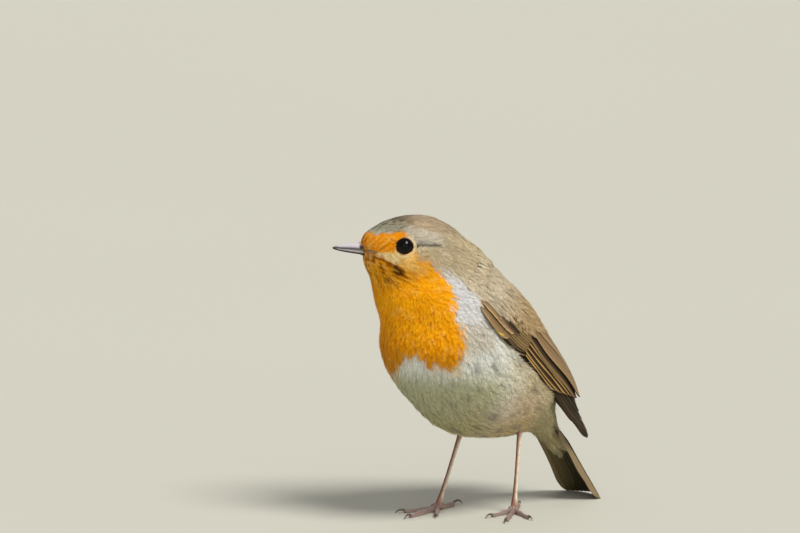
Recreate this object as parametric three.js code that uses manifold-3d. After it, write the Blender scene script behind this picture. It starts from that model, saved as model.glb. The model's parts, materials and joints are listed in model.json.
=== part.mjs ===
// A European robin, life size, standing still with its head turned to its own right.
// Millimetres, +Z up. The bird faces -Y and its left side is +X. Z = 0 is the surface it stands on.
//
// The flesh (head, neck, trunk and rump, out to the feather tips) is one smooth body made of
// soft-joined ellipsoids, parted by thin flat cuts. Wings and tail are curved blades, the bill,
// legs, toes and claws are tapered limbs, and the eyes are balls set in sockets.
import * as THREE from "three";
import { mergeVertices } from "three/addons/utils/BufferGeometryUtils.js";
import Module from "manifold-3d";

const wasm = await Module();
wasm.setup();

// ---------------------------------------------------------------- sizes
const GAP = 0.3; // between pieces that touch
const BLEND = 1.6; // how softly the masses of the body run together
const FAR = 400; // larger than the bird, for cutting blocks

const HEAD = {
  centre: new THREE.Vector3(-5.8, -21.6, 88.4),
  turn: -30, // degrees about the vertical, towards the bird's right
  lift: 2, // degrees, bill up
};
const EYE = { forward: 3.6, side: 7.7, up: 1.4, radius: 3.3 };
const BILL = { root: 8.5, tip: 25.8, rootDeep: 4.2, rootWide: 5.4 };

const WING = { start: -64, tip: 15, thick: 2.6, tipThick: 0.7 };
const TAIL = { length: 56.6, rootWide: 8, tipWide: 22.5, pitch: -57, thick: 1.3, arch: 3.2 };
const TAIL_ROOT = new THREE.Vector3(0, 18.2, 46.6);

const TARSUS = { top: 1.05, middle: 0.8, ankle: 1.05 };
const ANKLE_HEIGHT = 2.6;
const LEGS = {
  left: { side: 1, foot: [9, 8.6], heel: [8.2, 11.6, 27.5], turn: 42 },
  right: { side: -1, foot: [-9, -8.6], heel: [-8.2, 0.6, 25.5], turn: 16 },
};
// Toes in order hind, inner, middle, outer: bearing from the middle toe, length without claw,
// claw length and root radius.
const TOES = {
  hind: { bearing: 180, length: 8.0, claw: 6.0, radius: 0.95 },
  inner: { bearing: -33, length: 9.8, claw: 4.2, radius: 0.8 },
  middle: { bearing: 0, length: 14.2, claw: 4.6, radius: 0.85 },
  outer: { bearing: 33, length: 10.8, claw: 4.2, radius: 0.78 },
};

// ---------------------------------------------------------------- colours
const finish = (color, roughness = 0.8) =>
  new THREE.MeshStandardMaterial({ color, roughness, metalness: 0 });
const FINISHES = {
  crown: finish(0x9c8f78),
  throat: finish(0xd9791a),
  breast: finish(0xd9cfba),
  rump: finish(0xb5a98c),
  wing: finish(0x8a7350),
  tail: finish(0x6e5a3e),
  horn: finish(0x3c3634, 0.4),
  eye: finish(0x0a0706, 0.08),
  leg: finish(0xa07a68, 0.55),
  claw: finish(0x4a3d36, 0.4),
};

// ---------------------------------------------------------------- solids
const degrees = THREE.MathUtils.degToRad;
const ORIGIN = new THREE.Vector3(0, 0, 0);
const UP = new THREE.Vector3(0, 0, 1);
const DOWN = new THREE.Vector3(0, 0, -1);

// A closed three.js geometry as a manifold solid.
function solid(geometry) {
  const bare = geometry.index ? geometry.toNonIndexed() : geometry.clone();
  for (const name of Object.keys(bare.attributes)) if (name !== "position") bare.deleteAttribute(name);
  const merged = mergeVertices(bare, 1e-4);
  return new wasm.Manifold(
    new wasm.Mesh({
      numProp: 3,
      vertProperties: new Float32Array(merged.attributes.position.array),
      triVerts: new Uint32Array(merged.index.array),
    }),
  );
}

// A manifold solid as a named three.js mesh. Of several pieces left by a cut, the largest is kept.
function part(name, shape, material) {
  const largest = shape.decompose().sort((a, b) => b.volume() - a.volume())[0];
  const { numProp, vertProperties, triVerts } = largest.getMesh();
  const count = vertProperties.length / numProp;
  const position = new Float32Array(count * 3);
  for (let i = 0; i < count; i++) position.set(vertProperties.subarray(i * numProp, i * numProp + 3), i * 3);
  const geometry = new THREE.BufferGeometry();
  geometry.setAttribute("position", new THREE.BufferAttribute(position, 3));
  geometry.setIndex(new THREE.BufferAttribute(new Uint32Array(triVerts), 1));
  geometry.computeVertexNormals();
  const mesh = new THREE.Mesh(geometry, material);
  mesh.name = name;
  return mesh;
}

// Everything on the far side of a plane: the side that its normal points to.
function beyond(point, normal) {
  const block = new THREE.BoxGeometry(FAR, FAR, FAR);
  block.translate(0, 0, FAR / 2);
  block.applyQuaternion(new THREE.Quaternion().setFromUnitVectors(new THREE.Vector3(0, 0, 1), normal));
  block.translate(point.x, point.y, point.z);
  return solid(block);
}

// ---------------------------------------------------------------- the body's masses
const headFrame = new THREE.Matrix4().compose(
  HEAD.centre,
  new THREE.Quaternion().setFromEuler(new THREE.Euler(degrees(-HEAD.lift), 0, degrees(HEAD.turn), "ZXY")),
  new THREE.Vector3(1, 1, 1),
);
// A point of the head: forward along the bill, to the bird's left, and up.
const headPoint = (forward, left, up) => new THREE.Vector3(left, -forward, up).applyMatrix4(headFrame);

// An ellipsoid: its centre, its half sizes across, along and deep, and the frame that turns it.
function mass(centre, [across, along, deep], frame) {
  const rotation = new THREE.Matrix4().extractRotation(frame);
  return { centre, inverse: rotation.transpose(), radii: new THREE.Vector3(across, along, deep) };
}
const bodyMass = (y, z, radii, pitch = 0, x = 0) =>
  mass(new THREE.Vector3(x, y, z), radii, new THREE.Matrix4().makeRotationX(degrees(pitch)));
const headMass = (forward, left, up, radii, pitch = 0) =>
  mass(
    headPoint(forward, left, up),
    radii,
    headFrame.clone().multiply(new THREE.Matrix4().makeRotationX(degrees(pitch))),
  );

const MASSES = [
  headMass(-1.2, 0, 0.6, [9.8, 16.2, 10.3]), // skull
  headMass(9, 0, 0.6, [5.6, 7.0, 5.2]), // forehead and lores
  headMass(1.5, 4.6, -3.4, [5.6, 9.0, 5.8]), // left cheek
  headMass(1.5, -4.6, -3.4, [5.6, 9.0, 5.8]), // right cheek
  headMass(8.0, 0, -7.5, [6.6, 6.6, 7.0], 20), // chin
  headMass(3.5, 0, -15, [10.5, 9.5, 12]), // throat
  bodyMass(-7.9, 77.0, [13.2, 13.6, 14.2], 0, -1.5), // hind neck
  bodyMass(-12, 59, [20.6, 21.0, 21.5]), // breast
  bodyMass(-3, 47.2, [20.0, 24, 21.2], -38), // belly
  bodyMass(5.3, 58.8, [15.4, 25.4, 13.4], -52), // back
  bodyMass(16, 40, [12.5, 18.0, 12.0], -48), // rump
  bodyMass(8, 37, [14.0, 15.0, 12.5], -25), // vent
  bodyMass(26.6, 28.2, [6.6, 15.6, 4.0], -58), // under the tail
  bodyMass(23.0, 40.6, [7.0, 11.0, 3.6], -58), // over the tail
];

// Distance outside the body, negative inside.
function outside(point, masses = MASSES) {
  let sum = 0;
  const local = new THREE.Vector3();
  for (const { centre, inverse, radii } of masses) {
    local.copy(point).sub(centre).applyMatrix4(inverse).divide(radii);
    const reach = local.length();
    const slope = local.divide(radii).length();
    const distance = slope > 0 ? (reach * (reach - 1)) / slope : -radii.x;
    sum += Math.exp(-distance / BLEND);
  }
  return -BLEND * Math.log(sum);
}

// The body's surface as seen from a centre inside it, moved out by an offset.
function bodyFrom(centre, detail, offset = 0, reach = 60) {
  const ball = new THREE.IcosahedronGeometry(1, detail);
  ball.deleteAttribute("normal");
  ball.deleteAttribute("uv");
  const position = ball.attributes.position;
  const direction = new THREE.Vector3();
  const probe = new THREE.Vector3();
  const gap = (distance) => outside(probe.copy(direction).multiplyScalar(distance).add(centre)) - offset;
  for (let i = 0; i < position.count; i++) {
    direction.fromBufferAttribute(position, i).normalize();
    let near = 0;
    let far = 1;
    while (far < reach && gap(far) < 0) {
      near = far;
      far += 1;
    }
    for (let step = 0; step < 14; step++) {
      const half = (near + far) / 2;
      if (gap(half) < 0) near = half;
      else far = half;
    }
    direction.multiplyScalar(near).add(centre);
    position.setXYZ(i, direction.x, direction.y, direction.z);
  }
  return solid(ball);
}

const CENTRES = {
  head: headPoint(0, 0, -1),
  neck: new THREE.Vector3(-3, -14, 77),
  trunk: new THREE.Vector3(0, -5, 54),
  rump: new THREE.Vector3(0, 19, 37),
};
// The cuts between them: a point and the direction that runs towards the head.
const CUTS = {
  throat: { point: headPoint(0, 0, -7), normal: new THREE.Vector3(-0.3, -0.55, 1).normalize() },
  collar: { point: new THREE.Vector3(0, -12, 71), normal: new THREE.Vector3(-0.05, -0.5, 1).normalize() },
  loin: { point: new THREE.Vector3(0, 17, 39.5), normal: new THREE.Vector3(0, -0.72, 0.7).normalize() },
};
const ahead = ({ point, normal }) => beyond(point.clone().addScaledVector(normal, GAP / 2), normal);
const behind = ({ point, normal }) =>
  beyond(point.clone().addScaledVector(normal, -GAP / 2), normal.clone().negate());

// ---------------------------------------------------------------- limbs
// A tapered limb along a curve. sizes(t) gives its half width and half depth from root to tip.
function limb(curve, sizes, { sides = 10, steps = 12, up = new THREE.Vector3(0, 0, 1) } = {}) {
  const profile = [new THREE.Vector2(0, 0)];
  for (let i = 0; i <= steps; i++) profile.push(new THREE.Vector2(1, i / steps));
  profile.push(new THREE.Vector2(0, 1));
  const lathe = new THREE.LatheGeometry(profile, sides);
  const position = lathe.attributes.position;
  const along = new THREE.Vector3();
  const sideways = new THREE.Vector3();
  const raised = new THREE.Vector3();
  for (let i = 0; i < position.count; i++) {
    const t = position.getY(i);
    const point = curve.getPointAt(t);
    const [wide, deep] = sizes(t);
    along.copy(curve.getTangentAt(t));
    sideways.crossVectors(along, up).normalize();
    raised.crossVectors(sideways, along);
    point.addScaledVector(sideways, -position.getX(i) * wide);
    point.addScaledVector(raised, position.getZ(i) * deep);
    position.setXYZ(i, point.x, point.y, point.z);
  }
  return faceOut(lathe);
}

// Turns a geometry's triangles round if they face inwards.
function faceOut(geometry) {
  const bare = geometry.toNonIndexed();
  const p = bare.attributes.position;
  const [a, b, c] = [new THREE.Vector3(), new THREE.Vector3(), new THREE.Vector3()];
  let volume = 0;
  for (let i = 0; i < p.count; i += 3) {
    a.fromBufferAttribute(p, i);
    b.fromBufferAttribute(p, i + 1);
    c.fromBufferAttribute(p, i + 2);
    volume += a.dot(b.cross(c));
  }
  if (volume > 0) return bare;
  const array = p.array;
  for (let i = 0; i < array.length; i += 9)
    for (let k = 0; k < 3; k++) [array[i + k], array[i + 3 + k]] = [array[i + 3 + k], array[i + k]];
  return bare;
}

const mix = (from, to, t) => from + (to - from) * t;

// ---------------------------------------------------------------- the bill
// One tapered horn, parted along the gape into two mandibles.
function billSolid(grow) {
  const root = headPoint(BILL.root, 0, -1.7);
  const middle = headPoint(mix(BILL.root, BILL.tip, 0.6), 0, -0.85);
  const tip = headPoint(BILL.tip + grow, 0, -0.75);
  const slim = (t) => Math.pow(Math.max(1 - t, 0), 0.72);
  const sizes = (t) => [
    0.12 + grow + (BILL.rootWide / 2) * slim(t),
    0.12 + grow + (BILL.rootDeep / 2) * slim(t),
  ];
  return solid(limb(new THREE.QuadraticBezierCurve3(root, middle, tip), sizes, { sides: 12, steps: 9 }));
}
// The gape dips from the tip back to the corner of the mouth.
const gapePoint = headPoint(BILL.tip, 0, -0.7);
const gapeUp = new THREE.Vector3(0, 0.085, 1).normalize().applyQuaternion(
  new THREE.Quaternion().setFromRotationMatrix(headFrame),
);
const GAPE = { point: gapePoint, normal: gapeUp };

// ---------------------------------------------------------------- the wings
// A folded wing in its own measures: s runs from the wrist to the tip along the back, x is the
// distance from the midline and q the height above the body's axis.
const WING_AXIS = new THREE.Vector3(0, 0.707, -0.697).normalize();
const WING_RISE = new THREE.Vector3(0, 0.697, 0.707).normalize();
const wingPoint = (side, s, x, q) =>
  new THREE.Vector3(side * x, 0, 0).addScaledVector(WING_AXIS, s).addScaledVector(WING_RISE, q);
// Stations along the wing: [s, lower edge x, q, upper edge x, q, bulge]
const WING_STATIONS = [
  [-64, 12.4, 46.0, 7.0, 54.0, 0.6],
  [-57, 18.0, 41.6, 6.6, 57.0, 3.0],
  [-48, 20.8, 39.2, 5.4, 59.4, 5.0],
  [-36, 21.8, 39.2, 3.4, 60.0, 5.8],
  [-22, 20.6, 40.6, 1.8, 58.6, 5.2],
  [-10.5, 17.6, 41.0, 1.4, 56.2, 3.9],
  [-2.2, 14.8, 41.6, 2.4, 53.8, 2.4],
  [3.2, 12.8, 42.2, 6.2, 48.4, 1.1],
  [8.7, 10.8, 42.8, 7.2, 46.4, 0.7],
  [15.0, 8.4, 43.8, 7.6, 44.6, 0.2],
];
const wingSpan = WING_STATIONS.map(([s]) => s);

// One of the station's measures at a place along the wing, eased between stations.
function wingMeasure(column, s) {
  let i = 1;
  while (i < wingSpan.length - 1 && s > wingSpan[i]) i++;
  const t = THREE.MathUtils.clamp((s - wingSpan[i - 1]) / (wingSpan[i] - wingSpan[i - 1]), 0, 1);
  const at = (k) => WING_STATIONS[THREE.MathUtils.clamp(k, 0, WING_STATIONS.length - 1)][column];
  const [p0, p1, p2, p3] = [at(i - 2), at(i - 1), at(i), at(i + 1)];
  const slope = (p2 - p0) / 2;
  const square = p0 - 2.5 * p1 + 2 * p2 - p3 / 2;
  const cube = (3 * p1 - p0 - 3 * p2 + p3) / 2;
  return p1 + slope * t + square * t ** 2 + cube * t ** 3;
}

function wingSolid(side) {
  const rows = 17;
  const columns = 6;
  const across = new THREE.Vector3();
  const out = new THREE.Vector3();
  const place = (i, j, inner) => {
    const along = i / rows;
    const s = mix(WING.start, WING.tip, along);
    const t = j / columns;
    const low = wingPoint(side, s, wingMeasure(1, s), wingMeasure(2, s));
    const high = wingPoint(side, s, wingMeasure(3, s), wingMeasure(4, s));
    across.subVectors(high, low).normalize();
    out.crossVectors(WING_AXIS, across).normalize().multiplyScalar(side);
    const bulge = wingMeasure(5, s) * (1 - (2 * t - 1) ** 2);
    const point = low.lerp(high, t).addScaledVector(out, bulge);
    // The front of the wing lies close on the body, its very edge tucked under the breast feathers.
    const cover = mix(-1.0, 1.7, THREE.MathUtils.smoothstep(along, 0, 0.1));
    const rise = cover - outside(point);
    const hug = 1 - THREE.MathUtils.smoothstep(along, 0.35, 0.7);
    if (s < 0) point.addScaledVector(out, rise > 0 ? rise : rise * hug);
    const edge = Math.sin(Math.PI * t) ** 0.5;
    const thick = mix(WING.thick, WING.tipThick, along);
    return inner ? point.addScaledVector(out, -thick * mix(0.35, 1, edge)) : point;
  };
  return solid(shell(place, rows, columns));
}

// A closed blade between an outer and an inner surface, each a grid of rows by columns.
function shell(place, rows, columns) {
  const points = [];
  const index = (i, j, inner) => (inner ? 1 : 0) * (rows + 1) * (columns + 1) + i * (columns + 1) + j;
  for (const inner of [false, true]) {
    for (let i = 0; i <= rows; i++) {
      for (let j = 0; j <= columns; j++) points.push(...place(i, j, inner).toArray());
    }
  }
  const faces = [];
  const quad = (a, b, c, d) => faces.push(a, b, c, a, c, d);
  for (let i = 0; i < rows; i++) {
    for (let j = 0; j < columns; j++) {
      quad(index(i, j, false), index(i + 1, j, false), index(i + 1, j + 1, false), index(i, j + 1, false));
      quad(index(i, j, true), index(i, j + 1, true), index(i + 1, j + 1, true), index(i + 1, j, true));
    }
  }
  for (let i = 0; i < rows; i++) {
    const k = columns;
    quad(index(i, 0, true), index(i + 1, 0, true), index(i + 1, 0, false), index(i, 0, false));
    quad(index(i, k, false), index(i + 1, k, false), index(i + 1, k, true), index(i, k, true));
  }
  for (let j = 0; j < columns; j++) {
    const k = rows;
    quad(index(0, j, false), index(0, j + 1, false), index(0, j + 1, true), index(0, j, true));
    quad(index(k, j, true), index(k, j + 1, true), index(k, j + 1, false), index(k, j, false));
  }
  const geometry = new THREE.BufferGeometry();
  geometry.setAttribute("position", new THREE.Float32BufferAttribute(points, 3));
  geometry.setIndex(faces);
  return faceOut(geometry);
}

// ---------------------------------------------------------------- the tail
// A roofed fan: its ridge runs along the midline and its edges droop.
function tailSolid() {
  const pitch = degrees(TAIL.pitch);
  const along = new THREE.Vector3(0, Math.cos(pitch), Math.sin(pitch));
  const rise = new THREE.Vector3(0, -Math.sin(pitch), Math.cos(pitch));
  const rows = 10;
  const columns = 10;
  const place = (i, j, inner) => {
    const t = i / rows;
    const w = (2 * j) / columns - 1;
    const half = mix(TAIL.rootWide, TAIL.tipWide, Math.pow(t, 0.8)) / 2;
    const notch = t * (1.2 * Math.abs(w) - 1.6 * w * w);
    const point = TAIL_ROOT.clone().addScaledVector(along, TAIL.length * t + notch);
    point.x += half * w;
    point.addScaledVector(rise, -mix(1.4, TAIL.arch, t) * w * w);
    const thick = mix(2.6, TAIL.thick, t) * mix(1, 0.5, w * w);
    return inner ? point.addScaledVector(rise, -thick) : point;
  };
  return solid(shell(place, rows, columns));
}

// ---------------------------------------------------------------- legs and feet
function tarsusSolid({ foot, heel }) {
  const [x, y] = foot;
  const ankle = new THREE.Vector3(x, y, ANKLE_HEIGHT - 1);
  const shaft = new THREE.LineCurve3(new THREE.Vector3(...heel), ankle);
  const sizes = (t) => {
    const waist = (t * 2 - 1) ** 3;
    const thick = t < 0.5 ? mix(TARSUS.top, TARSUS.middle, t * 2) : mix(TARSUS.middle, TARSUS.ankle, waist);
    return [thick * 0.86, thick];
  };
  const shape = solid(limb(shaft, sizes, { sides: 10, steps: 8, up: new THREE.Vector3(0, 1, 0) }));
  return shape.intersect(beyond(new THREE.Vector3(0, 0, ANKLE_HEIGHT), UP));
}

// A toe in the foot's frame: it leaves the ankle, comes down and lies on its pads, which the
// floor cuts flat.
function toeSolid({ length, radius }) {
  const rest = radius * 0.7;
  const path = new THREE.CatmullRomCurve3([
    new THREE.Vector3(0, -0.75, ANKLE_HEIGHT * 0.62),
    new THREE.Vector3(0, -2.3, rest + 0.2),
    new THREE.Vector3(0, -length * 0.6, rest * 0.88),
    new THREE.Vector3(0, -length, rest * 0.74),
  ]);
  const sizes = (t) => {
    const pads = 1 + 0.13 * Math.cos(2 * Math.PI * 3 * t);
    const size = radius * mix(1, 0.66, t) * pads;
    return [size, size * 0.95];
  };
  const toe = solid(limb(path, sizes, { sides: 8, steps: 7 }));
  const top = new THREE.Vector3(0, 0, ANKLE_HEIGHT - GAP);
  return toe.intersect(beyond(ORIGIN, UP)).intersect(beyond(top, DOWN));
}

// A claw in the same frame: it arches up from the toe's end and comes back to the floor.
function clawSolid({ length, claw, radius }) {
  const start = length + GAP;
  const root = radius * 0.6;
  const path = new THREE.QuadraticBezierCurve3(
    new THREE.Vector3(0, -start, root * 1.15),
    new THREE.Vector3(0, -start - claw * 0.62, root * 1.15 + claw * 0.3),
    new THREE.Vector3(0, -start - claw * 0.94, 0.14),
  );
  const sizes = (t) => [mix(root * 0.72, 0.1, t), mix(root * 0.95, 0.12, t)];
  const shape = solid(limb(path, sizes, { sides: 6, steps: 5 }));
  return shape.intersect(beyond(ORIGIN, UP));
}

// A foot: four toes spread round the ankle, each parted from its neighbours along the bearing
// half way between them.
function footGroup(name, { side, foot, turn }) {
  const group = new THREE.Group();
  group.position.set(foot[0], foot[1], 0);
  for (const [toeName, toe] of Object.entries(TOES)) {
    const swing = new THREE.Group();
    swing.rotation.z = degrees(turn + side * toe.bearing);
    let shape = toeSolid(toe);
    for (const other of Object.values(TOES)) {
      if (other === toe) continue;
      const between = THREE.MathUtils.euclideanModulo(side * (other.bearing - toe.bearing) + 180, 360) - 180;
      shape = shape.intersect(besideBearing(between / 2));
    }
    swing.add(part(`toe_${name}_${toeName}`, shape, FINISHES.leg));
    swing.add(part(`claw_${name}_${toeName}`, clawSolid(toe), FINISHES.claw));
    group.add(swing);
  }
  return group;
}

// The side of an upright plane through the ankle that holds the toe, the plane being turned from
// the toe by a bearing.
function besideBearing(bearing) {
  const angle = degrees(bearing);
  const hand = -Math.sign(bearing);
  const normal = new THREE.Vector3(hand * Math.cos(angle), hand * Math.sin(angle), 0);
  return beyond(normal.clone().multiplyScalar(GAP / 2), normal);
}

// ---------------------------------------------------------------- the robin
function robin() {
  const group = new THREE.Group();
  const add = (name, shape, material) => group.add(part(name, shape, material));

  const eyes = [1, -1].map((side) => headPoint(EYE.forward, side * EYE.side, EYE.up));
  const ball = (centre, radius) => {
    const geometry = new THREE.IcosahedronGeometry(radius, 2);
    geometry.translate(centre.x, centre.y, centre.z);
    return solid(geometry);
  };

  let head = bodyFrom(CENTRES.head, 7).intersect(ahead(CUTS.throat));
  head = head.subtract(billSolid(GAP));
  for (const centre of eyes) head = head.subtract(ball(centre, EYE.radius + GAP));
  add("head", head, FINISHES.crown);

  const bill = billSolid(0);
  add("bill_upper", bill.intersect(ahead(GAPE)), FINISHES.horn);
  add("bill_lower", bill.intersect(behind(GAPE)), FINISHES.horn);
  add("eye_left", ball(eyes[0], EYE.radius), FINISHES.eye);
  add("eye_right", ball(eyes[1], EYE.radius), FINISHES.eye);

  const neck = bodyFrom(CENTRES.neck, 6).intersect(behind(CUTS.throat)).intersect(ahead(CUTS.collar));
  add("neck", neck, FINISHES.throat);

  const trunk = bodyFrom(CENTRES.trunk, 7).intersect(behind(CUTS.collar)).intersect(ahead(CUTS.loin));
  add("trunk", trunk, FINISHES.breast);
  const rump = bodyFrom(CENTRES.rump, 6).intersect(behind(CUTS.loin));
  add("rump", rump, FINISHES.rump);

  // Room for the flesh, cut out of what lies against it.
  const flesh = [CENTRES.trunk, CENTRES.rump, CENTRES.neck].map((centre) => bodyFrom(centre, 4, GAP * 2));
  const clearOfFlesh = (shape) => flesh.reduce((kept, room) => kept.subtract(room), shape);
  add("tail", clearOfFlesh(tailSolid().intersect(beyond(ORIGIN, UP))), FINISHES.tail);

  for (const [name, side] of [["left", 1], ["right", -1]]) {
    add(`wing_${name}`, clearOfFlesh(wingSolid(side)), FINISHES.wing);
    const leg = LEGS[name];
    add(`tarsus_${name}`, clearOfFlesh(tarsusSolid(leg)), FINISHES.leg);
    group.add(footGroup(name, leg));
  }
  return group;
}

// The part's origin is the middle of the bird's box, on the floor.
const bird = robin();
bird.updateMatrixWorld(true);
const box = new THREE.Box3().setFromObject(bird, true);
bird.position.set(-(box.min.x + box.max.x) / 2, -(box.min.y + box.max.y) / 2, -box.min.z);

export default bird;
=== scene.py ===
"""A life-size still model of a European robin, as a museum shows one, dressed over its CAD frame.

The flesh of the frame becomes one skin. Feathers of joined mesh grow over it along the lie of the
coat, and the wings and the tail are built feather by feather. The eyes, the bill, the legs and the
claws are finer models of their frame parts. Measures are in millimetres, and meshes in metres.
"""

import json
import logging
import math
from collections.abc import Callable
from dataclasses import dataclass, field
from enum import Enum
from itertools import product

import bmesh
import bpy
import numpy as np
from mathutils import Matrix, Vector
from mathutils.bvhtree import BVHTree

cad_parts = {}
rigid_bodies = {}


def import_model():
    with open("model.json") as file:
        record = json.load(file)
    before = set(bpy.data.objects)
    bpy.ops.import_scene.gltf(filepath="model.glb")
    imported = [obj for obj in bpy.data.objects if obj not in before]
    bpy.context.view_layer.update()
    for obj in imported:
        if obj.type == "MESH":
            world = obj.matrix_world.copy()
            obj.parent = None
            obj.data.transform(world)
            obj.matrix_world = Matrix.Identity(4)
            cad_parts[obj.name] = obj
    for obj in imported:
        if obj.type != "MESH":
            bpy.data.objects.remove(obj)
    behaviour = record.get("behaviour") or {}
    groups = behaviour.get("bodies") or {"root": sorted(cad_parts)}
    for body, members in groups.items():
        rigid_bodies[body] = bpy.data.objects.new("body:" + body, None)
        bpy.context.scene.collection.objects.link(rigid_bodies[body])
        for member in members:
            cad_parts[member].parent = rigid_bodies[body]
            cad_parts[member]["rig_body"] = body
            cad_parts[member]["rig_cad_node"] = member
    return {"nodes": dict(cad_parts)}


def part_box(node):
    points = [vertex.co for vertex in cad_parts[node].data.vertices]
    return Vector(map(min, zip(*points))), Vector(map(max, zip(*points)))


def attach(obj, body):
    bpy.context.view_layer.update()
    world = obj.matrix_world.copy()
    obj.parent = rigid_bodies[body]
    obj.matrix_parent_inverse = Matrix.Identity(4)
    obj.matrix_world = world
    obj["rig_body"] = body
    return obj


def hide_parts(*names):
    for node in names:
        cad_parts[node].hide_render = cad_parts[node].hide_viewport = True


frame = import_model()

LOG = logging.getLogger("robin")
MM = 0.001
COAT_MAP = "OFBake"
TONE = "tone"
FLESH = ("head", "neck", "trunk", "rump")
# The size of a vane's map, and the ways the tail and the folded wings point.
VANE_MAP = "vane"
VANE_SPAN = 100.0
TAIL_WAY = (0.0, 0.545, -0.839)
WING_WAY = (0.0, 0.707, -0.697)
# The shares of a small feather's length at which its run is measured.
RUN_STEPS = (0.0, 0.25, 0.5, 0.75, 1.0)

Array = np.ndarray
Piece = bpy.types.Object
Rng = np.random.Generator
Triple = tuple[float, float, float]
Pair = tuple[float, float]
Shade = tuple[int, int, int]
Line = tuple[Pair, ...]


# ------------------------------------------------------------------ small tools
def smoothstep(low: float, high: float, value: Array) -> Array:
    """An eased ramp from 0 at low to 1 at high."""
    t = np.clip((value - low) / (high - low), 0.0, 1.0)
    return t * t * (3.0 - 2.0 * t)


def unit(vectors: Array) -> Array:
    """The vectors at length one."""
    length = np.linalg.norm(vectors, axis=-1, keepdims=True)
    return vectors / np.maximum(length, 1e-9)


def mix(a: Array, b: Array, share: Array) -> Array:
    """Colours a turned towards colours b, by a share for each place."""
    return a + (b - a) * np.asarray(share, float)[..., None]


def linear(shade: Shade) -> Array:
    """A shade given as 0 to 255 display values, as linear light."""
    value = np.asarray(shade, float) / 255.0
    return np.where(value <= 0.04045, value / 12.92, ((value + 0.055) / 1.055) ** 2.4)


def even(shade: Shade, count: int) -> Array:
    """One shade for each of many points, as linear light."""
    return np.broadcast_to(linear(shade), (count, 3))


def painted(base: Shade, count: int, *layers: tuple[Shade, Array]) -> Array:
    """An even shade with others laid over it.

    Args:
        base: the shade under the others.
        count: the number of points.
        layers: each further shade, and its share at each point.
    Returns:
        One colour for each point, as linear light.
    """
    tone = even(base, count)
    for shade, share in layers:
        tone = mix(tone, linear(shade), share)
    return tone


def on_line(line: Line, value: Array) -> Array:
    """The height of a drawn line, given as pairs, at each value."""
    return np.interp(value, *np.array(line).T)


def grid_faces(rows: int, columns: int, turned: bool) -> Array:
    """The faces between the points of a grid.

    Args:
        rows: how many rows of points the grid has.
        columns: how many points a row has.
        turned: whether the faces look the other way.
    Returns:
        Four point numbers for each face.
    """
    index = np.arange(rows * columns).reshape(rows, columns)
    quads = np.stack([index[:-1, :-1], index[1:, :-1], index[1:, 1:], index[:-1, 1:]], axis=-1)
    quads = quads.reshape(-1, 4)
    return quads[:, ::-1] if turned else quads


def ripple(points: Array, length: float, seed: int, stretch: Triple = (1.0, 1.0, 1.0)) -> Array:
    """Smooth even noise about 0, mostly within -1 to 1, that changes over the given length.

    Args:
        points: places in millimetres, one a row.
        length: the size of one blotch in millimetres.
        seed: picks the pattern.
        stretch: the pattern's fineness along each axis.
    Returns:
        One value for each place.
    """
    rng = np.random.default_rng(seed)
    places = points * np.array(stretch)
    total = np.zeros(len(points))
    waves = 9
    for _ in range(waves):
        way = rng.normal(size=3)
        way *= 2.0 * math.pi / (length * rng.uniform(1.2, 2.6) * np.linalg.norm(way))
        total += np.sin(places @ way + rng.uniform(0.0, 2.0 * math.pi))
    return total / math.sqrt(waves)


def mesh_piece(name: str, points: Array, faces: Array) -> Piece:
    """A piece made from arrays.

    Args:
        name: the piece's name.
        points: places in millimetres, one a row.
        faces: point numbers, one face a row, all with the same number of corners.
    Returns:
        The new object, at the origin.
    """
    mesh = bpy.data.meshes.new(name)
    count, sides = faces.shape
    mesh.vertices.add(len(points))
    mesh.vertices.foreach_set("co", (points * MM).astype(np.float32).ravel())
    mesh.loops.add(count * sides)
    mesh.loops.foreach_set("vertex_index", faces.astype(np.int32).ravel())
    mesh.polygons.add(count)
    mesh.polygons.foreach_set("loop_start", np.arange(0, count * sides, sides, dtype=np.int32))
    mesh.update(calc_edges=True)
    piece = bpy.data.objects.new(name, mesh)
    bpy.context.scene.collection.objects.link(piece)
    return piece


def paint(piece: Piece, tones: Array) -> None:
    """Stores a linear colour for each point of a piece.

    Args:
        piece: the piece.
        tones: one colour for each point, as linear light.
    """
    colour = np.ones((len(tones), 4), np.float32)
    colour[:, :3] = np.clip(tones, 0.0, 1.0)
    layer = piece.data.color_attributes.new(TONE, "FLOAT_COLOR", "POINT")
    layer.data.foreach_set("color", colour.ravel())


def shade_as(piece: Piece, normals: Array) -> None:
    """Lets a piece take the light as a softer surface would, given a direction for each point."""
    piece.data.shade_smooth()
    piece.data.normals_split_custom_set_from_vertices(normals.astype(np.float32))


def add_map(piece: Piece, name: str, places: Array) -> None:
    """Stores a UV map given one place for each point.

    Args:
        piece: the piece.
        name: the map's name.
        places: one place for each point, from 0 to 1.
    """
    mesh = piece.data
    corner = np.zeros(len(mesh.loops), np.int32)
    mesh.loops.foreach_get("vertex_index", corner)
    layer = mesh.uv_layers.new(name=name)
    layer.data.foreach_set("uv", places[corner].astype(np.float32).ravel())


def only(piece: Piece) -> None:
    """Selects one object alone and makes it active.

    Args:
        piece: the piece.
    """
    bpy.ops.object.select_all(action="DESELECT")
    piece.select_set(True)
    bpy.context.view_layer.objects.active = piece


def apply(piece: Piece, kind: str, **settings: object) -> None:
    """Adds a modifier with the given settings and applies it at once.

    Args:
        piece: the piece.
        kind: the modifier's type.
        settings: the values that it is given.
    """
    only(piece)
    modifier = piece.modifiers.new(kind.title(), kind)
    for key, value in settings.items():
        setattr(modifier, key, value)
    bpy.ops.object.modifier_apply(modifier=modifier.name)


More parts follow.
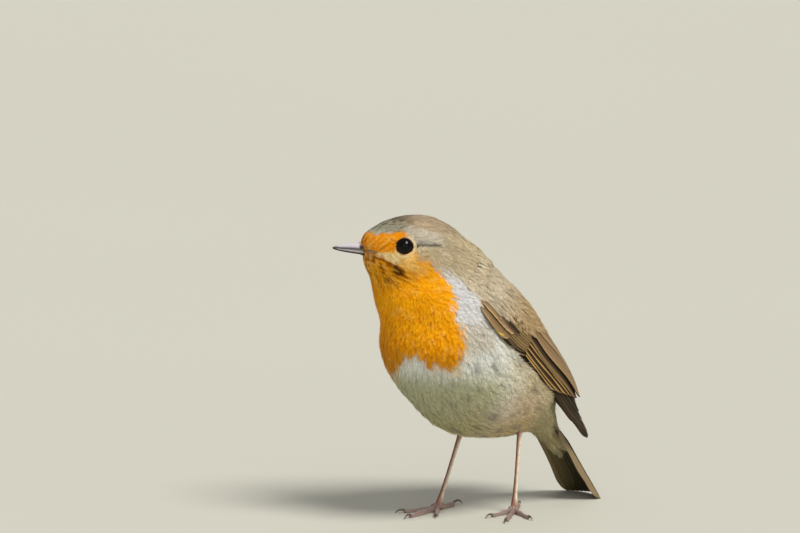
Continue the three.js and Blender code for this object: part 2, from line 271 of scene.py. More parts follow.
def points_of(piece: Piece) -> Array:
    """The points of a piece in millimetres.

    Args:
        piece: the piece.
    Returns:
        One place a row.
    """
    flat = np.zeros(len(piece.data.vertices) * 3, np.float32)
    piece.data.vertices.foreach_get("co", flat)
    return flat.reshape(-1, 3).astype(float) / MM


def move_points(piece: Piece, points: Array) -> None:
    """Puts the points of a piece at new places in millimetres."""
    piece.data.vertices.foreach_set("co", (points * MM).astype(np.float32).ravel())
    piece.data.update()


def normals_of(piece: Piece) -> Array:
    """The outward direction at each point of a piece.

    Args:
        piece: the piece.
    Returns:
        One unit direction a row.
    """
    flat = np.zeros(len(piece.data.vertices) * 3, np.float32)
    piece.data.vertex_normals.foreach_get("vector", flat)
    return flat.reshape(-1, 3).astype(float)


def triangles_of(piece: Piece) -> Array:
    """The triangles of a piece as point numbers.

    Args:
        piece: the piece.
    Returns:
        Three point numbers a row.
    """
    piece.data.calc_loop_triangles()
    flat = np.zeros(len(piece.data.loop_triangles) * 3, np.int32)
    piece.data.loop_triangles.foreach_get("vertices", flat)
    return flat.reshape(-1, 3)


class Surface:
    """A smooth surface that can be asked for the place on it nearest to a point."""

    def __init__(self, piece: Piece, points: Array | None = None) -> None:
        """Keeps the piece's triangles, with its points moved where they are given.

        Args:
            piece: the piece that gives the triangles.
            points: where its points are, or nothing for the piece's own.
        """
        self.points = points_of(piece) if points is None else points
        self.triangles = triangles_of(piece)
        corners = self.points[self.triangles]
        face = np.cross(corners[:, 1] - corners[:, 0], corners[:, 2] - corners[:, 0])
        self.areas = np.linalg.norm(face, axis=1) / 2.0
        normals = np.zeros_like(self.points)
        for k in range(3):
            np.add.at(normals, self.triangles[:, k], face)
        self.normals = unit(normals)
        self.tree = BVHTree.FromPolygons(self.points.tolist(), self.triangles.tolist())

    def nearest(self, places: Array) -> tuple[Array, Array]:
        """The nearest places on the surface and the smooth outward directions there.

        Args:
            places: places near the surface, one a row.
        Returns:
            The nearest places, and the directions at them.
        """
        found = np.empty_like(places)
        face = np.empty(len(places), np.int64)
        for i, place in enumerate(places.tolist()):
            spot, _, number, _ = self.tree.find_nearest(place)
            found[i] = spot
            face[i] = number
        corners = self.triangles[face]
        gap = np.linalg.norm(self.points[corners] - found[:, None, :], axis=2)
        weight = 1.0 / (gap + 0.02)
        normal = (self.normals[corners] * weight[..., None]).sum(axis=1)
        return found, unit(normal)

    def struck(self, places: Array, ways: Array, reach: float) -> Array:
        """The distance at which a ray from each place meets the surface, or infinity.

        Args:
            places: where the rays start.
            ways: the unit direction of each.
            reach: how far they go at most.
        Returns:
            One distance for each ray.
        """
        far = np.full(len(places), np.inf)
        for i, (place, way) in enumerate(zip(places.tolist(), ways.tolist())):
            hit = self.tree.ray_cast(place, way, reach)
            if hit[0] is not None:
                far[i] = hit[3]
        return far


# ------------------------------------------------------------------ the bird's own measures
@dataclass
class Spots:
    """Places in the frame, with what each is on the straight bird."""

    points: Array
    along: Array
    height: Array
    side: Array
    true_side: Array

    def strands(self, way: Pair, draw: float, length: float, seed: int) -> Array:
        """Ripples drawn out into strands over the side of the face.

        Args:
            way: which way the strands run, along and up.
            draw: how slowly they change over their run, 1 for as fast as across it.
            length: the width of one in millimetres.
            seed: picks the pattern.
        Returns:
            One value for each place, mostly within -1 to 1.
        """
        run = self.along * way[0] + self.height * way[1]
        over = self.height * way[0] - self.along * way[1]
        return ripple(np.stack([self.side * 0.7, run * draw, over], axis=1), length, seed)


@dataclass(frozen=True, kw_only=True)
class Patch:
    """A soft patch of the straight bird.

    The limits are pairs: where the patch starts and where it is full, by height going up, by
    height going down, and along the bird.
    """

    rise: Pair | None = None
    fall: Pair | None = None
    along: Pair | None = None

    def cover(self, at: Spots, full: float = 1.0) -> Array:
        """How much of each place lies in the patch.

        Args:
            at: the places.
            full: the share in the patch's middle.
        Returns:
            A share from 0 to full for each place.
        """
        share = np.full(len(at.points), full)
        for limits, value in ((self.rise, at.height), (self.fall, at.height), (self.along, at.along)):
            if limits:
                share = share * smoothstep(*limits, value)
        return share


@dataclass
class Anatomy:
    """Where the parts of the bird are, worked out from the frame's eyes and bill."""

    eye_forward: float = 3.6
    eye_up: float = 1.4
    bill_tip: float = 25.8
    bill_length: float = 17.3
    bill_drop: float = -0.75
    head_place: Triple = (-5.8, -21.6, 88.4)
    head_turn: float = 30.0
    neck_low: float = 66.0
    neck_high: float = 84.0

    def __post_init__(self) -> None:
        """Finds the head's directions and how far the frame lies from the bird's own origin."""
        left, right = (self.centre(f"eye_{side}") for side in ("left", "right"))
        middle = (left + right) / 2.0
        self.left = unit(left - right)
        bill = points_of(frame["nodes"]["bill_upper"])
        tip = bill[np.argmax(np.linalg.norm(bill - middle, axis=1))] - middle
        aim = unit(tip - self.left * (tip @ self.left))
        rise = np.cross(aim, self.left)
        dip = math.atan2(self.eye_up - self.bill_drop, self.bill_tip - self.eye_forward)
        self.forward = aim * math.cos(dip) + rise * math.sin(dip)
        self.up = np.cross(self.forward, self.left)
        self.head = middle - self.forward * self.eye_forward - self.up * self.eye_up
        self.shift = self.head - np.array(self.head_place)
        self.shift[2] = 0.0

    @staticmethod
    def centre(node: str) -> Array:
        """The middle of a frame part's box."""
        low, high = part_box(node)
        return (np.array(low) + np.array(high)) / 2.0 / MM

    def place(self, x: float, y: float, z: float) -> Array:
        """A place given from the floor between the feet, in the frame."""
        return np.array([x, y, z], float) + self.shift

    def at_head(self, forward: Array, side: Array, up: Array) -> Array:
        """Places given from the middle of the head, in the frame."""
        place = self.head + self.forward * forward[..., None]
        return place + self.left * side[..., None] + self.up * up[..., None]

    def from_head(self, points: Array) -> tuple[Array, Array, Array]:
        """How far forward, left and up each place is from the middle of the head."""
        local = points - self.head
        return local @ self.forward, local @ self.left, local @ self.up

    def eye_spot(self) -> Array:
        """Where the eye is on the straight bird's side: along and height."""
        up = self.head_place[2] + self.eye_up + 0.1
        return np.array([self.head_place[1] - self.eye_forward, up])

    def gaze(self, hand: float) -> Array:
        """The way that the left (1) or right (-1) eye looks: outwards, a little forward and up."""
        return unit(self.left * hand + self.forward * 0.15 + self.up * 0.15)

    def turn_at(self, height: Array) -> Array:
        """How far the neck has turned the bird at a height, in radians."""
        return math.radians(self.head_turn) * smoothstep(self.neck_low, self.neck_high, height)

    def unturned(self, points: Array) -> Array:
        """The places as they would be if the bird looked straight ahead.

        Args:
            points: places in the frame, one a row.
        Returns:
            Places from the floor between the feet, with the bird's left side at positive x.
        """
        own = points - self.shift
        angle = self.turn_at(own[:, 2])
        share = angle / math.radians(self.head_turn)
        x, y = own[:, 0] - self.head_place[0], own[:, 1] - self.head_place[1]
        out = own.copy()
        out[:, 0] = np.cos(angle) * x - np.sin(angle) * y + self.head_place[0] * (1.0 - share)
        out[:, 1] = np.sin(angle) * x + np.cos(angle) * y + self.head_place[1]
        return out

    def spots(self, points: Array) -> Spots:
        """Places in the frame, with what each is on the straight bird."""
        own = self.unturned(points)
        return Spots(points, own[:, 1], own[:, 2], np.abs(own[:, 0]), points[:, 0] - self.shift[0])

    def turned(self, ways: Array, points: Array) -> Array:
        """Directions of the straight bird, turned as the neck turns them at each place.

        Args:
            ways: the directions, one a row.
            points: the places in the straight bird's own measure.
        Returns:
            The turned directions.
        """
        angle = self.turn_at(points[:, 2])
        out = ways.copy()
        out[:, 0] = np.cos(angle) * ways[:, 0] + np.sin(angle) * ways[:, 1]
        out[:, 1] = -np.sin(angle) * ways[:, 0] + np.cos(angle) * ways[:, 1]
        return out


# ------------------------------------------------------------------ the colours of the bird
@dataclass(frozen=True)
class Palette:
    """Shades of the plumage in display values."""

    orange: Shade = (255, 175, 10)
    orange_deep: Shade = (232, 138, 2)
    orange_pale: Shade = (252, 210, 110)
    band: Shade = (214, 214, 216)
    brow: Shade = (196, 188, 170)
    crown: Shade = (180, 160, 134)
    nape: Shade = (194, 178, 146)
    ear: Shade = (203, 193, 176)
    mantle: Shade = (195, 182, 158)
    rump: Shade = (170, 150, 112)
    belly: Shade = (234, 236, 230)
    flank: Shade = (208, 195, 162)
    vent: Shade = (184, 174, 134)
    # Painted shade of the low belly, tinged olive.
    low_belly: Shade = (186, 186, 150)
    down: Shade = (112, 108, 104)
    cream: Shade = (255, 232, 176)
    peach: Shade = (255, 212, 122)
    rust: Shade = (142, 70, 6)
    tan: Shade = (206, 172, 124)
    slate: Shade = (150, 148, 140)
    dusk: Shade = (60, 58, 54)
    olive: Shade = (112, 100, 58)
    # Painted shade in the partings between feathers.
    gap: Shade = (34, 18, 6)
    horn: Shade = (166, 146, 112)
    stain: Shade = (172, 148, 102)
    ochre: Shade = (252, 196, 84)
    primary_web: Shade = (40, 32, 16)
    primary_fringe: Shade = (112, 88, 56)
    strip: Shade = (146, 118, 80)
    tertial: Shade = (126, 102, 70)
    tertial_fringe: Shade = (166, 138, 98)
    covert_fringe: Shade = (158, 132, 90)
    scapular: Shade = (178, 152, 112)
    mauve: Shade = (154, 124, 96)
    yellow: Shade = (206, 168, 66)
    wing_web: Shade = (56, 42, 26)
    wing_fringe: Shade = (206, 166, 100)
    covert: Shade = (122, 98, 62)
    tail_web: Shade = (104, 92, 58)
    tail_fringe: Shade = (138, 120, 92)
    band_low: Shade = (206, 198, 180)
    strip_web: Shade = (148, 122, 84)

    def __getitem__(self, name: str) -> Array:
        """A shade by name, as linear light."""
        return linear(getattr(self, name))


PALETTE = Palette()


@dataclass(frozen=True)
class Mark:
    """A mark of the face, drawn on the straight bird's side: an area, or a line of some width."""

    shade: str
    strength: float
    soft: float
    spots: Line
    width: float = 0.0

    def share(self, along: Array, height: Array) -> Array:
        """How much of the mark's shade each place takes.

        Args:
            along: how far back each place is.
            height: how high it is.
        Returns:
            A share from 0 to the mark's strength for each place.
        """
        place = np.stack([along, height], axis=1)
        spots = np.array(self.spots)
        if not self.width:
            spots = np.concatenate([spots, spots[:1]])
        gap = np.full(len(place), 1e6)
        inside = np.zeros(len(place), bool)
        for low, high in zip(spots[:-1], spots[1:]):
            run = high - low
            t = np.clip((place - low) @ run / (run @ run), 0.0, 1.0)
            gap = np.minimum(gap, np.linalg.norm(place - low - t[:, None] * run, axis=1))
            between = (low[1] > height) != (high[1] > height)
            slope = run[0] / (run[1] if abs(run[1]) > 1e-6 else 1e-6)
            inside ^= between & (along < low[0] + (height - low[1]) * slope)
        deep = self.width / 2.0 - gap if self.width else np.where(inside, gap, -gap)
        return self.strength * smoothstep(-self.soft, self.soft, deep)


class Marks(Enum):
    """The marks of the face, in the order in which they are laid."""

    BROW_BAND = Mark("brow", 0.75, 0.7, (
        (-23.5, 93.6), (-24.5, 95.3), (-22.7, 95.7), (-16.7, 94.3), (-13.0, 93.1), (-12.8, 91.6),
        (-15.3, 91.9), (-19.0, 92.4), (-22.1, 92.1)))
    TEMPLE = Mark("slate", 0.60, 0.45, (
        (-21.6, 91.4), (-19.3, 92.0), (-15.3, 91.4), (-13.8, 90.4), (-20.3, 90.6)))
    STREAK = Mark("dusk", 0.92, 0.28, (
        (-21.4, 89.9), (-20.5, 90.5), (-18.2, 90.4), (-16.0, 90.2), (-13.0, 89.8)), 0.62)
    UNDER_STREAK = Mark("cream", 0.55, 0.30, ((-22.0, 88.9), (-20.4, 89.2), (-18.8, 89.5)), 0.5)
    CHEEK = Mark("peach", 0.80, 0.9, (
        (-33.6, 87.7), (-31.9, 88.1), (-29.1, 88.4), (-27.4, 87.2), (-24.7, 87.6), (-21.9, 88.3),
        (-20.6, 86.8), (-21.2, 85.0), (-20.1, 83.1), (-23.3, 81.9), (-26.0, 83.0), (-27.9, 85.1),
        (-30.8, 86.3), (-32.5, 86.8)))
    FRINGE = Mark("cream", 0.80, 0.45, (
        (-34.2, 88.0), (-30.5, 88.1), (-27.7, 87.2), (-26.2, 84.8), (-28.6, 84.5), (-30.5, 85.6),
        (-32.8, 86.8)))
    EAR_ORANGE = Mark("peach", 0.42, 0.9, (
        (-23.0, 84.6), (-19.4, 84.2), (-17.2, 83.4), (-17.4, 81.0), (-20.4, 80.2), (-23.0, 81.6)))
    EAR = Mark("tan", 0.70, 0.70, (
        (-20.8, 86.9), (-17.6, 87.4), (-16.1, 85.5), (-17.6, 84.8), (-20.1, 84.5)))
    MALAR = Mark("rust", 0.75, 0.45, (
        (-37.5, 86.2), (-35.2, 86.3), (-32.4, 85.9), (-30.8, 85.0), (-29.4, 83.4)), 0.9)
    GAPE = Mark("horn", 0.85, 0.35, (
        (-39.6, 89.0), (-36.5, 88.9), (-34.2, 88.3), (-34.2, 87.6), (-36.5, 87.0), (-39.6, 86.8)))
    GAPE_LINE = Mark("olive", 0.80, 0.22, ((-39.4, 88.8), (-36.5, 88.6), (-33.6, 88.1)), 0.35)
    JAW = Mark("rust", 0.60, 0.9, ((-32.4, 83.2), (-31.1, 81.2), (-30.0, 78.8), (-29.3, 76.8)), 1.2)
    # Painted shade in the parting of the feathers below the eye.
    GAP = Mark("gap", 0.95, 0.45, (
        (-29.0, 83.9), (-27.9, 84.4), (-27.1, 82.9), (-25.2, 81.9), (-24.9, 81.2), (-26.7, 80.4),
        (-28.4, 80.4), (-28.9, 82.2)))
    TICK = Mark("olive", 0.75, 0.18, ((-27.8, 85.0), (-27.5, 83.4)), 0.45)
    SPOT = Mark("rust", 0.80, 0.25, ((-29.2, 92.6), (-28.9, 92.2)), 0.5)


@dataclass(frozen=True)
class Wash(Patch):
    """A soft patch of a shade, or of a change in the tone that is there when no shade is named.

    It may keep to the blotches of a ripple, given by where in the ripple they start and are full.
    """

    shade: str = ""
    strength: float = 1.0
    tint: Triple = (1.0, 1.0, 1.0)
    blotch: Pair | None = None
    length: float = 1.0
    seed: int = 0
    stretch: Triple = (1.0, 1.0, 1.0)

    def share(self, at: Spots) -> Array:
        """How much of the wash each place takes.

        Args:
            at: the places.
        Returns:
            A share from 0 to the wash's strength for each.
        """
        share = self.cover(at, self.strength)
        if self.blotch:
            waves = ripple(at.points, self.length, self.seed, self.stretch)
            share = share * smoothstep(*self.blotch, waves)
        return share


def lay(washes: tuple[Wash, ...], tone: Array, at: Spots) -> Array:
    """Lays washes over a colour, one after another.

    Args:
        washes: the washes.
        tone: the colour, for all places or for each.
        at: the places.
    Returns:
        One colour for each place.
    """
    tone = np.broadcast_to(tone, at.points.shape)
    for wash in washes:
        shade = PALETTE[wash.shade] if wash.shade else tone
        tone = mix(tone, shade * np.array(wash.tint), wash.share(at))
    return tone


# From the mantle's shade to the rest of the back.
BACK_WASHES = (
    Wash("nape", rise=(74.0, 84.0)),
    Wash("crown", rise=(90.0, 95.0)),
    Wash("crown", tint=(0.62, 0.62, 0.62), rise=(90.0, 95.0), along=(-17.5, -25.5)),
    Wash("ear", rise=(76.0, 80.0), fall=(95.0, 90.0), along=(-9.0, -15.0)),
    Wash("scapular", tint=(1.05, 1.05, 1.05), fall=(73.0, 65.0)),
    Wash("rump", fall=(60.0, 50.0)),
)
# From the belly and flank to the vent: painted shade tinged olive over the low belly, darker and yellower
# towards the bottom, with the down that shows through and the stains.
UNDER_WASHES = (
    # Painted shade, tinged olive, under the front of the belly.
    Wash("low_belly", fall=(53.0, 42.0), along=(4.0, -10.0)),
    Wash(tint=(0.94, 0.94, 0.78), fall=(36.0, 29.0)),
    Wash(tint=(1.05, 0.95, 0.96), fall=(44.0, 34.0), along=(-24.0, -10.0)),
    Wash("vent", along=(12.0, 22.0)),
    Wash("down", 0.6, fall=(60.0, 50.0), along=(-26.0, -14.0), blotch=(0.5, 1.3), length=3.0, seed=5),
    Wash("stain", 0.45, fall=(60.0, 52.0), along=(-4.0, 8.0), blotch=(0.1, 1.2), length=4.2, seed=9),
)
# From the grey band at the breast's side up over the head and down to the belly.
BAND_WASHES = (
    Wash("nape", rise=(78.0, 84.0)),
    Wash("brow", rise=(88.5, 91.5)),
    Wash("crown", 0.7, rise=(95.0, 97.0)),
    Wash("band_low", 0.8, fall=(68.0, 62.0)),
    Wash("belly", fall=(58.0, 53.0)),
)
# The orange's shaded foot and its pale blotches.
ORANGE_WASHES = (
    Wash(tint=(0.78, 0.90, 0.90), fall=(59.0, 50.0)),
    Wash("orange_pale", 0.25, blotch=(0.3, 1.3), length=2.2, seed=24),
)
# The darker front of the crown and its streaks.
CROWN_WASHES = (
    Wash(tint=(0.66, 0.728, 0.677), rise=(93.5, 95.5), along=(-20.5, -27.0)),
    Wash("slate", 0.85, (0.26, 0.26, 0.26), rise=(93.5, 95.5), along=(-20.5, -27.0),
         blotch=(0.1, 1.0), length=1.1, seed=41, stretch=(1.0, 1.0, 2.6)),
)
CHIN_WASHES = (
    Wash("cream", 0.45, (0.8, 0.8, 0.8), rise=(77.0, 80.0), fall=(88.5, 87.0), along=(-35.0, -37.0),
         blotch=(0.0, 0.9), length=0.9, seed=42, stretch=(1.0, 1.0, 0.35)),
)
# Where the strands under the eye and those over the lores lie.
CHEEK_PATCH = Patch(rise=(74.0, 78.0), fall=(88.4, 87.2), along=(-20.0, -26.0))
BROW_PATCH = Patch(rise=(88.2, 89.4), fall=(94.2, 92.8), along=(-25.5, -29.0))


@dataclass
class Plumage:
    """The markings, as a colour for any place on the bird."""

    anatomy: Anatomy
    # Back border of the orange: height, and how far forward or back it runs.
    border: Line = (
        (50.5, -21.9), (52.5, -21.1), (56.2, -20.4), (59.5, -19.5), (62.7, -19.6), (65.6, -20.4),
        (67.5, -21.7), (69.9, -19.3), (72.5, -15.9), (74.5, -13.8), (76.9, -12.8), (79.0, -12.3),
        (80.5, -13.9), (82.8, -15.2), (84.6, -16.3), (85.5, -19.2), (87.3, -21.2), (89.3, -21.7),
        (90.9, -21.9), (92.9, -22.6), (94.4, -23.6), (96.5, -24.6),
    )
    # Upper border over the forehead: how far forward, and height.
    brow_line: Line = (
        (-39.0, 92.9), (-36.0, 93.9), (-32.0, 93.9), (-27.4, 94.8), (-25.2, 94.5), (-22.0, 93.3),
    )
    # Lower border over the breast: how far to the left, and height.
    hem: Line = (
        (-17.0, 50.0), (-12.0, 47.0), (-7.6, 45.0), (0.3, 49.9), (3.5, 53.1), (7.3, 54.8),
        (10.4, 54.1), (11.7, 52.5), (12.7, 51.2), (14.4, 51.6), (15.7, 51.9), (16.5, 50.5),
    )
    # The line between back and belly: how far forward or back, and height.
    side_line: Line = ((-12.0, 67.0), (-4.0, 62.0), (18.0, 46.0), (27.0, 38.0), (60.0, 0.0))
    # Outer border of the grey band round the orange: height, and how far forward or back.
    band_line: Line = (
        (58.0, -8.0), (65.2, -8.7), (69.1, -9.0), (72.8, -7.3), (75.8, -6.2), (77.8, -7.4),
        (80.6, -9.6), (84.7, -11.2), (93.1, -13.7), (95.8, -20.1), (97.5, -24.7), (97.9, -29.0),
    )

    def colour(self, points: Array) -> Array:
        """The colour of the coat at each place, as linear light.

        Args:
            points: places in the frame, one a row.
        Returns:
            One colour for each place.
        """
        at = self.anatomy.spots(points)
        tone = self.back_and_belly(at)
        for part in (self.band, self.orange, self.face):
            tone = part(tone, at)
        return tone

    def back_and_belly(self, at: Spots) -> Array:
        """Olive brown above, white to buff below.

        Args:
            at: the places.
        Returns:
            One colour for each place.
        """
        back = lay(BACK_WASHES, PALETTE["mantle"], at)
        fleck = ripple(at.points, 1.6, 11, (1.0, 1.0, 0.6))
        back = back * (1.0 + 0.10 * fleck[:, None])
        rear = smoothstep(-9.0, 15.0, at.along + 0.25 * (56.0 - at.height))
        under = lay(UNDER_WASHES, mix(PALETTE["belly"], PALETTE["flank"], rear), at)
        above = at.height - on_line(self.side_line, at.along) + 0.8 * ripple(at.points, 2.0, 6)
        return mix(under, back, smoothstep(-1.5, 1.5, above))

    def band(self, tone: Array, at: Spots) -> Array:
        """The blue-grey to white band that borders the orange.

        Args:
            tone: the colours so far.
            at: the places.
        Returns:
            The colours with the band laid over them.
        """
        edge = on_line(self.band_line, at.height) - at.along + 0.9 * ripple(at.points, 1.4, 8)
        share = smoothstep(-1.2, 1.6, edge) * smoothstep(52.0, 58.0, at.height)
        return mix(tone, lay(BAND_WASHES, PALETTE["band"], at), share)

    def orange(self, tone: Array, at: Spots) -> Array:
        """The orange face and breast.

        Args:
            tone: the colours so far.
            at: the places.
        Returns:
            The colours with the orange laid over them.
        """
        behind = on_line(self.border, at.height) - at.along
        over = on_line(self.brow_line, at.along) - at.height
        below = at.height - on_line(self.hem, at.true_side)
        fray = 0.9 * ripple(at.points, 1.3, 21, (1.0, 1.0, 0.5))
        inside = np.minimum(np.minimum(behind, over * 1.5), below) + fray
        inside = np.where(at.height > 84.0, inside - 0.5 * fray, inside)
        # The orange deepens towards the breast's foot, partly its own deeper tone and partly painted
        # shade, and near the crown and in blotches.
        deep = np.max([
            0.75 * smoothstep(64.0, 50.0, at.height),
            0.65 * smoothstep(84.0, 88.0, at.height),
            0.50 * smoothstep(0.4, 1.2, ripple(at.points, 1.5, 23)),
        ], axis=0)
        shade = lay(ORANGE_WASHES, mix(PALETTE["orange"], PALETTE["orange_deep"], deep), at)
        flecks = smoothstep(0.3, 1.1, ripple(at.points, 1.1, 25)) * smoothstep(-4.6, -0.9, inside)
        tone = mix(tone, PALETTE["orange_pale"], 0.55 * flecks * smoothstep(70.0, 62.0, at.height))
        return mix(tone, shade, smoothstep(-0.7, 0.7, inside))

    def face(self, tone: Array, at: Spots) -> Array:
        """The pale forehead fringe, the ring round the eye, and the marks of the face.

        Args:
            tone: the colours so far.
            at: the places.
        Returns:
            The colours with the marks laid over them.
        """
        tone = lay(CROWN_WASHES, tone, at)
        cheek = smoothstep(3.0, 5.0, at.side) * smoothstep(74.0, 76.0, at.height)
        near = np.flatnonzero((cheek > 0.0) & (at.along < -9.0))
        along, height, cheek = at.along[near], at.height[near], cheek[near]
        for mark in Marks:
            share = mark.value.share(along, height) * cheek
            tone[near] = mix(tone[near], PALETTE[mark.value.shade], share)
            if mark is Marks.CHEEK:
                tone[near] = self.eye_ring(tone[near], along, height, cheek)
        low = CHEEK_PATCH.cover(at)
        bare = np.maximum(Marks.CHEEK.value.share(along, height), Marks.FRINGE.value.share(along, height))
        low[near] *= 1.0 - 0.9 * bare
        strands = at.strands((0.82, -0.57), 0.2, 0.62, 43)
        tone = mix(tone, PALETTE["rust"] * 0.7, 0.75 * low * smoothstep(0.1, 1.0, strands))
        pale = mix(PALETTE["ochre"], PALETTE["cream"], smoothstep(82.0, 86.0, at.height))
        tone = mix(tone, pale, 0.60 * low * smoothstep(0.1, 1.0, -strands))
        brow = BROW_PATCH.cover(at)
        hairs = at.strands((0.77, 0.64), 0.24, 0.6, 44)
        tone = mix(tone, PALETTE["rust"] * 1.1, 0.5 * brow * smoothstep(0.2, 1.1, hairs))
        tone = mix(tone, PALETTE["ochre"], 0.55 * brow * smoothstep(0.1, 1.0, -hairs))
        return lay(CHIN_WASHES, tone, at)

    def eye_ring(self, tone: Array, along: Array, height: Array, cheek: Array) -> Array:
        """The pale ring round the eye, behind it and below it.

        Args:
            tone: the colours so far.
            along: how far back each place is.
            height: how high it is.
            cheek: how much of it is on the side of the face.
        Returns:
            The colours with the ring laid over them.
        """
        eye_y, eye_z = self.anatomy.eye_spot()
        reach = np.hypot(along - eye_y, height - eye_z)
        behind = np.maximum(along - eye_y, eye_z - height) / np.maximum(reach, 0.1)
        ring = cheek * smoothstep(4.1, 3.3, reach) * 0.75 * np.clip(behind, 0, 1)
        return mix(tone, PALETTE["cream"], ring)


# ------------------------------------------------------------------ finishes
class Recipe:
    """A material in the making: a shader, and the nodes that feed it."""

    def __init__(self, name: str) -> None:
        """Starts a node material with its shader alone.

        Args:
            name: the material's name.
        """
        self.material = bpy.data.materials.new(name)
        self.material.use_nodes = True
        self.tree = self.material.node_tree
        self.shader = self.tree.nodes["Principled BSDF"]

    def feed(self, node: bpy.types.Node, values: dict[str | int, object]) -> None:
        """Fills a node's inputs.

        Args:
            node: the node.
            values: for each input, its constant or the output that is linked to it.
        """
        for key, value in values.items():
            if isinstance(value, bpy.types.NodeSocket):
                self.tree.links.new(value, node.inputs[key])
            else:
                node.inputs[key].default_value = value

    def add(
        self, kind: str, values: dict[str | int, object], **settings: object
    ) -> bpy.types.NodeOutputs:
        """Adds a node.

        Args:
            kind: the node's type.
            values: what goes into its inputs.
            settings: its own settings.
        Returns:
            The node's outputs.
        """
        node = self.tree.nodes.new("ShaderNode" + kind)
        for key, value in settings.items():
            setattr(node, key, value)
        self.feed(node, values)
        return node.outputs

    def math(self, operation: str, *terms: object) -> bpy.types.NodeSocket:
        """Adds a sum over constants and outputs, and returns its result."""
        return self.add("Math", dict(enumerate(terms)), operation=operation)[0]

    def noise(self, scale: float, detail: float = 2.0) -> bpy.types.NodeSocket:
        """Adds fine noise over the piece, and returns its strength."""
        place = self.add("TexCoord", {})["Object"]
        return self.add("TexNoise", {"Vector": place, "Scale": scale, "Detail": detail})["Fac"]

    def tint(self, wave: bpy.types.NodeSocket, depth: float) -> None:
        """Gives the shader the piece's own tones, made lighter and darker by a wave.

        Args:
            wave: the output that says how light each place is, from 0 to 1.
            depth: how much lighter and darker the tones become.
        """
        span = self.add("MapRange", {"Value": wave, "To Min": 1.0 - depth, "To Max": 1.0 + depth})
        tone = self.add("Attribute", {}, attribute_name=TONE)["Color"]
        shade = self.add("VectorMath", {0: tone, "Scale": span["Result"]}, operation="SCALE")
        self.feed(self.shader, {"Base Color": shade["Vector"]})

    def emboss(self, wave: bpy.types.NodeSocket, strength: float, height: float) -> None:
        """Gives the shader a relief.

        Args:
            wave: the output that says how high each place is.
            strength: how strong the relief is.
            height: its height in millimetres.
        """
        bump = self.add("Bump", {"Strength": strength, "Distance": height * MM, "Height": wave})
        self.feed(self.shader, {"Normal": bump["Normal"]})


@dataclass(frozen=True)
class FeatherFinish:
    """Plumage: each feather's own colour, with fine streaks, and a soft matt surface."""

    name: str
    roughness: float = 0.9
    sheen: float = 0.05
    specular: float = 0.08
    fleck_scale: float = 1400.0
    fleck: float = 0.14

    def material(self) -> bpy.types.Material:
        """Makes the material.

        Returns:
            The finished material.
        """
        recipe = Recipe(self.name)
        recipe.tint(recipe.noise(self.fleck_scale), self.fleck)
        recipe.feed(recipe.shader, {
            "Roughness": self.roughness,
            "Sheen Weight": self.sheen,
            "Specular IOR Level": self.specular,
        })
        return recipe.material


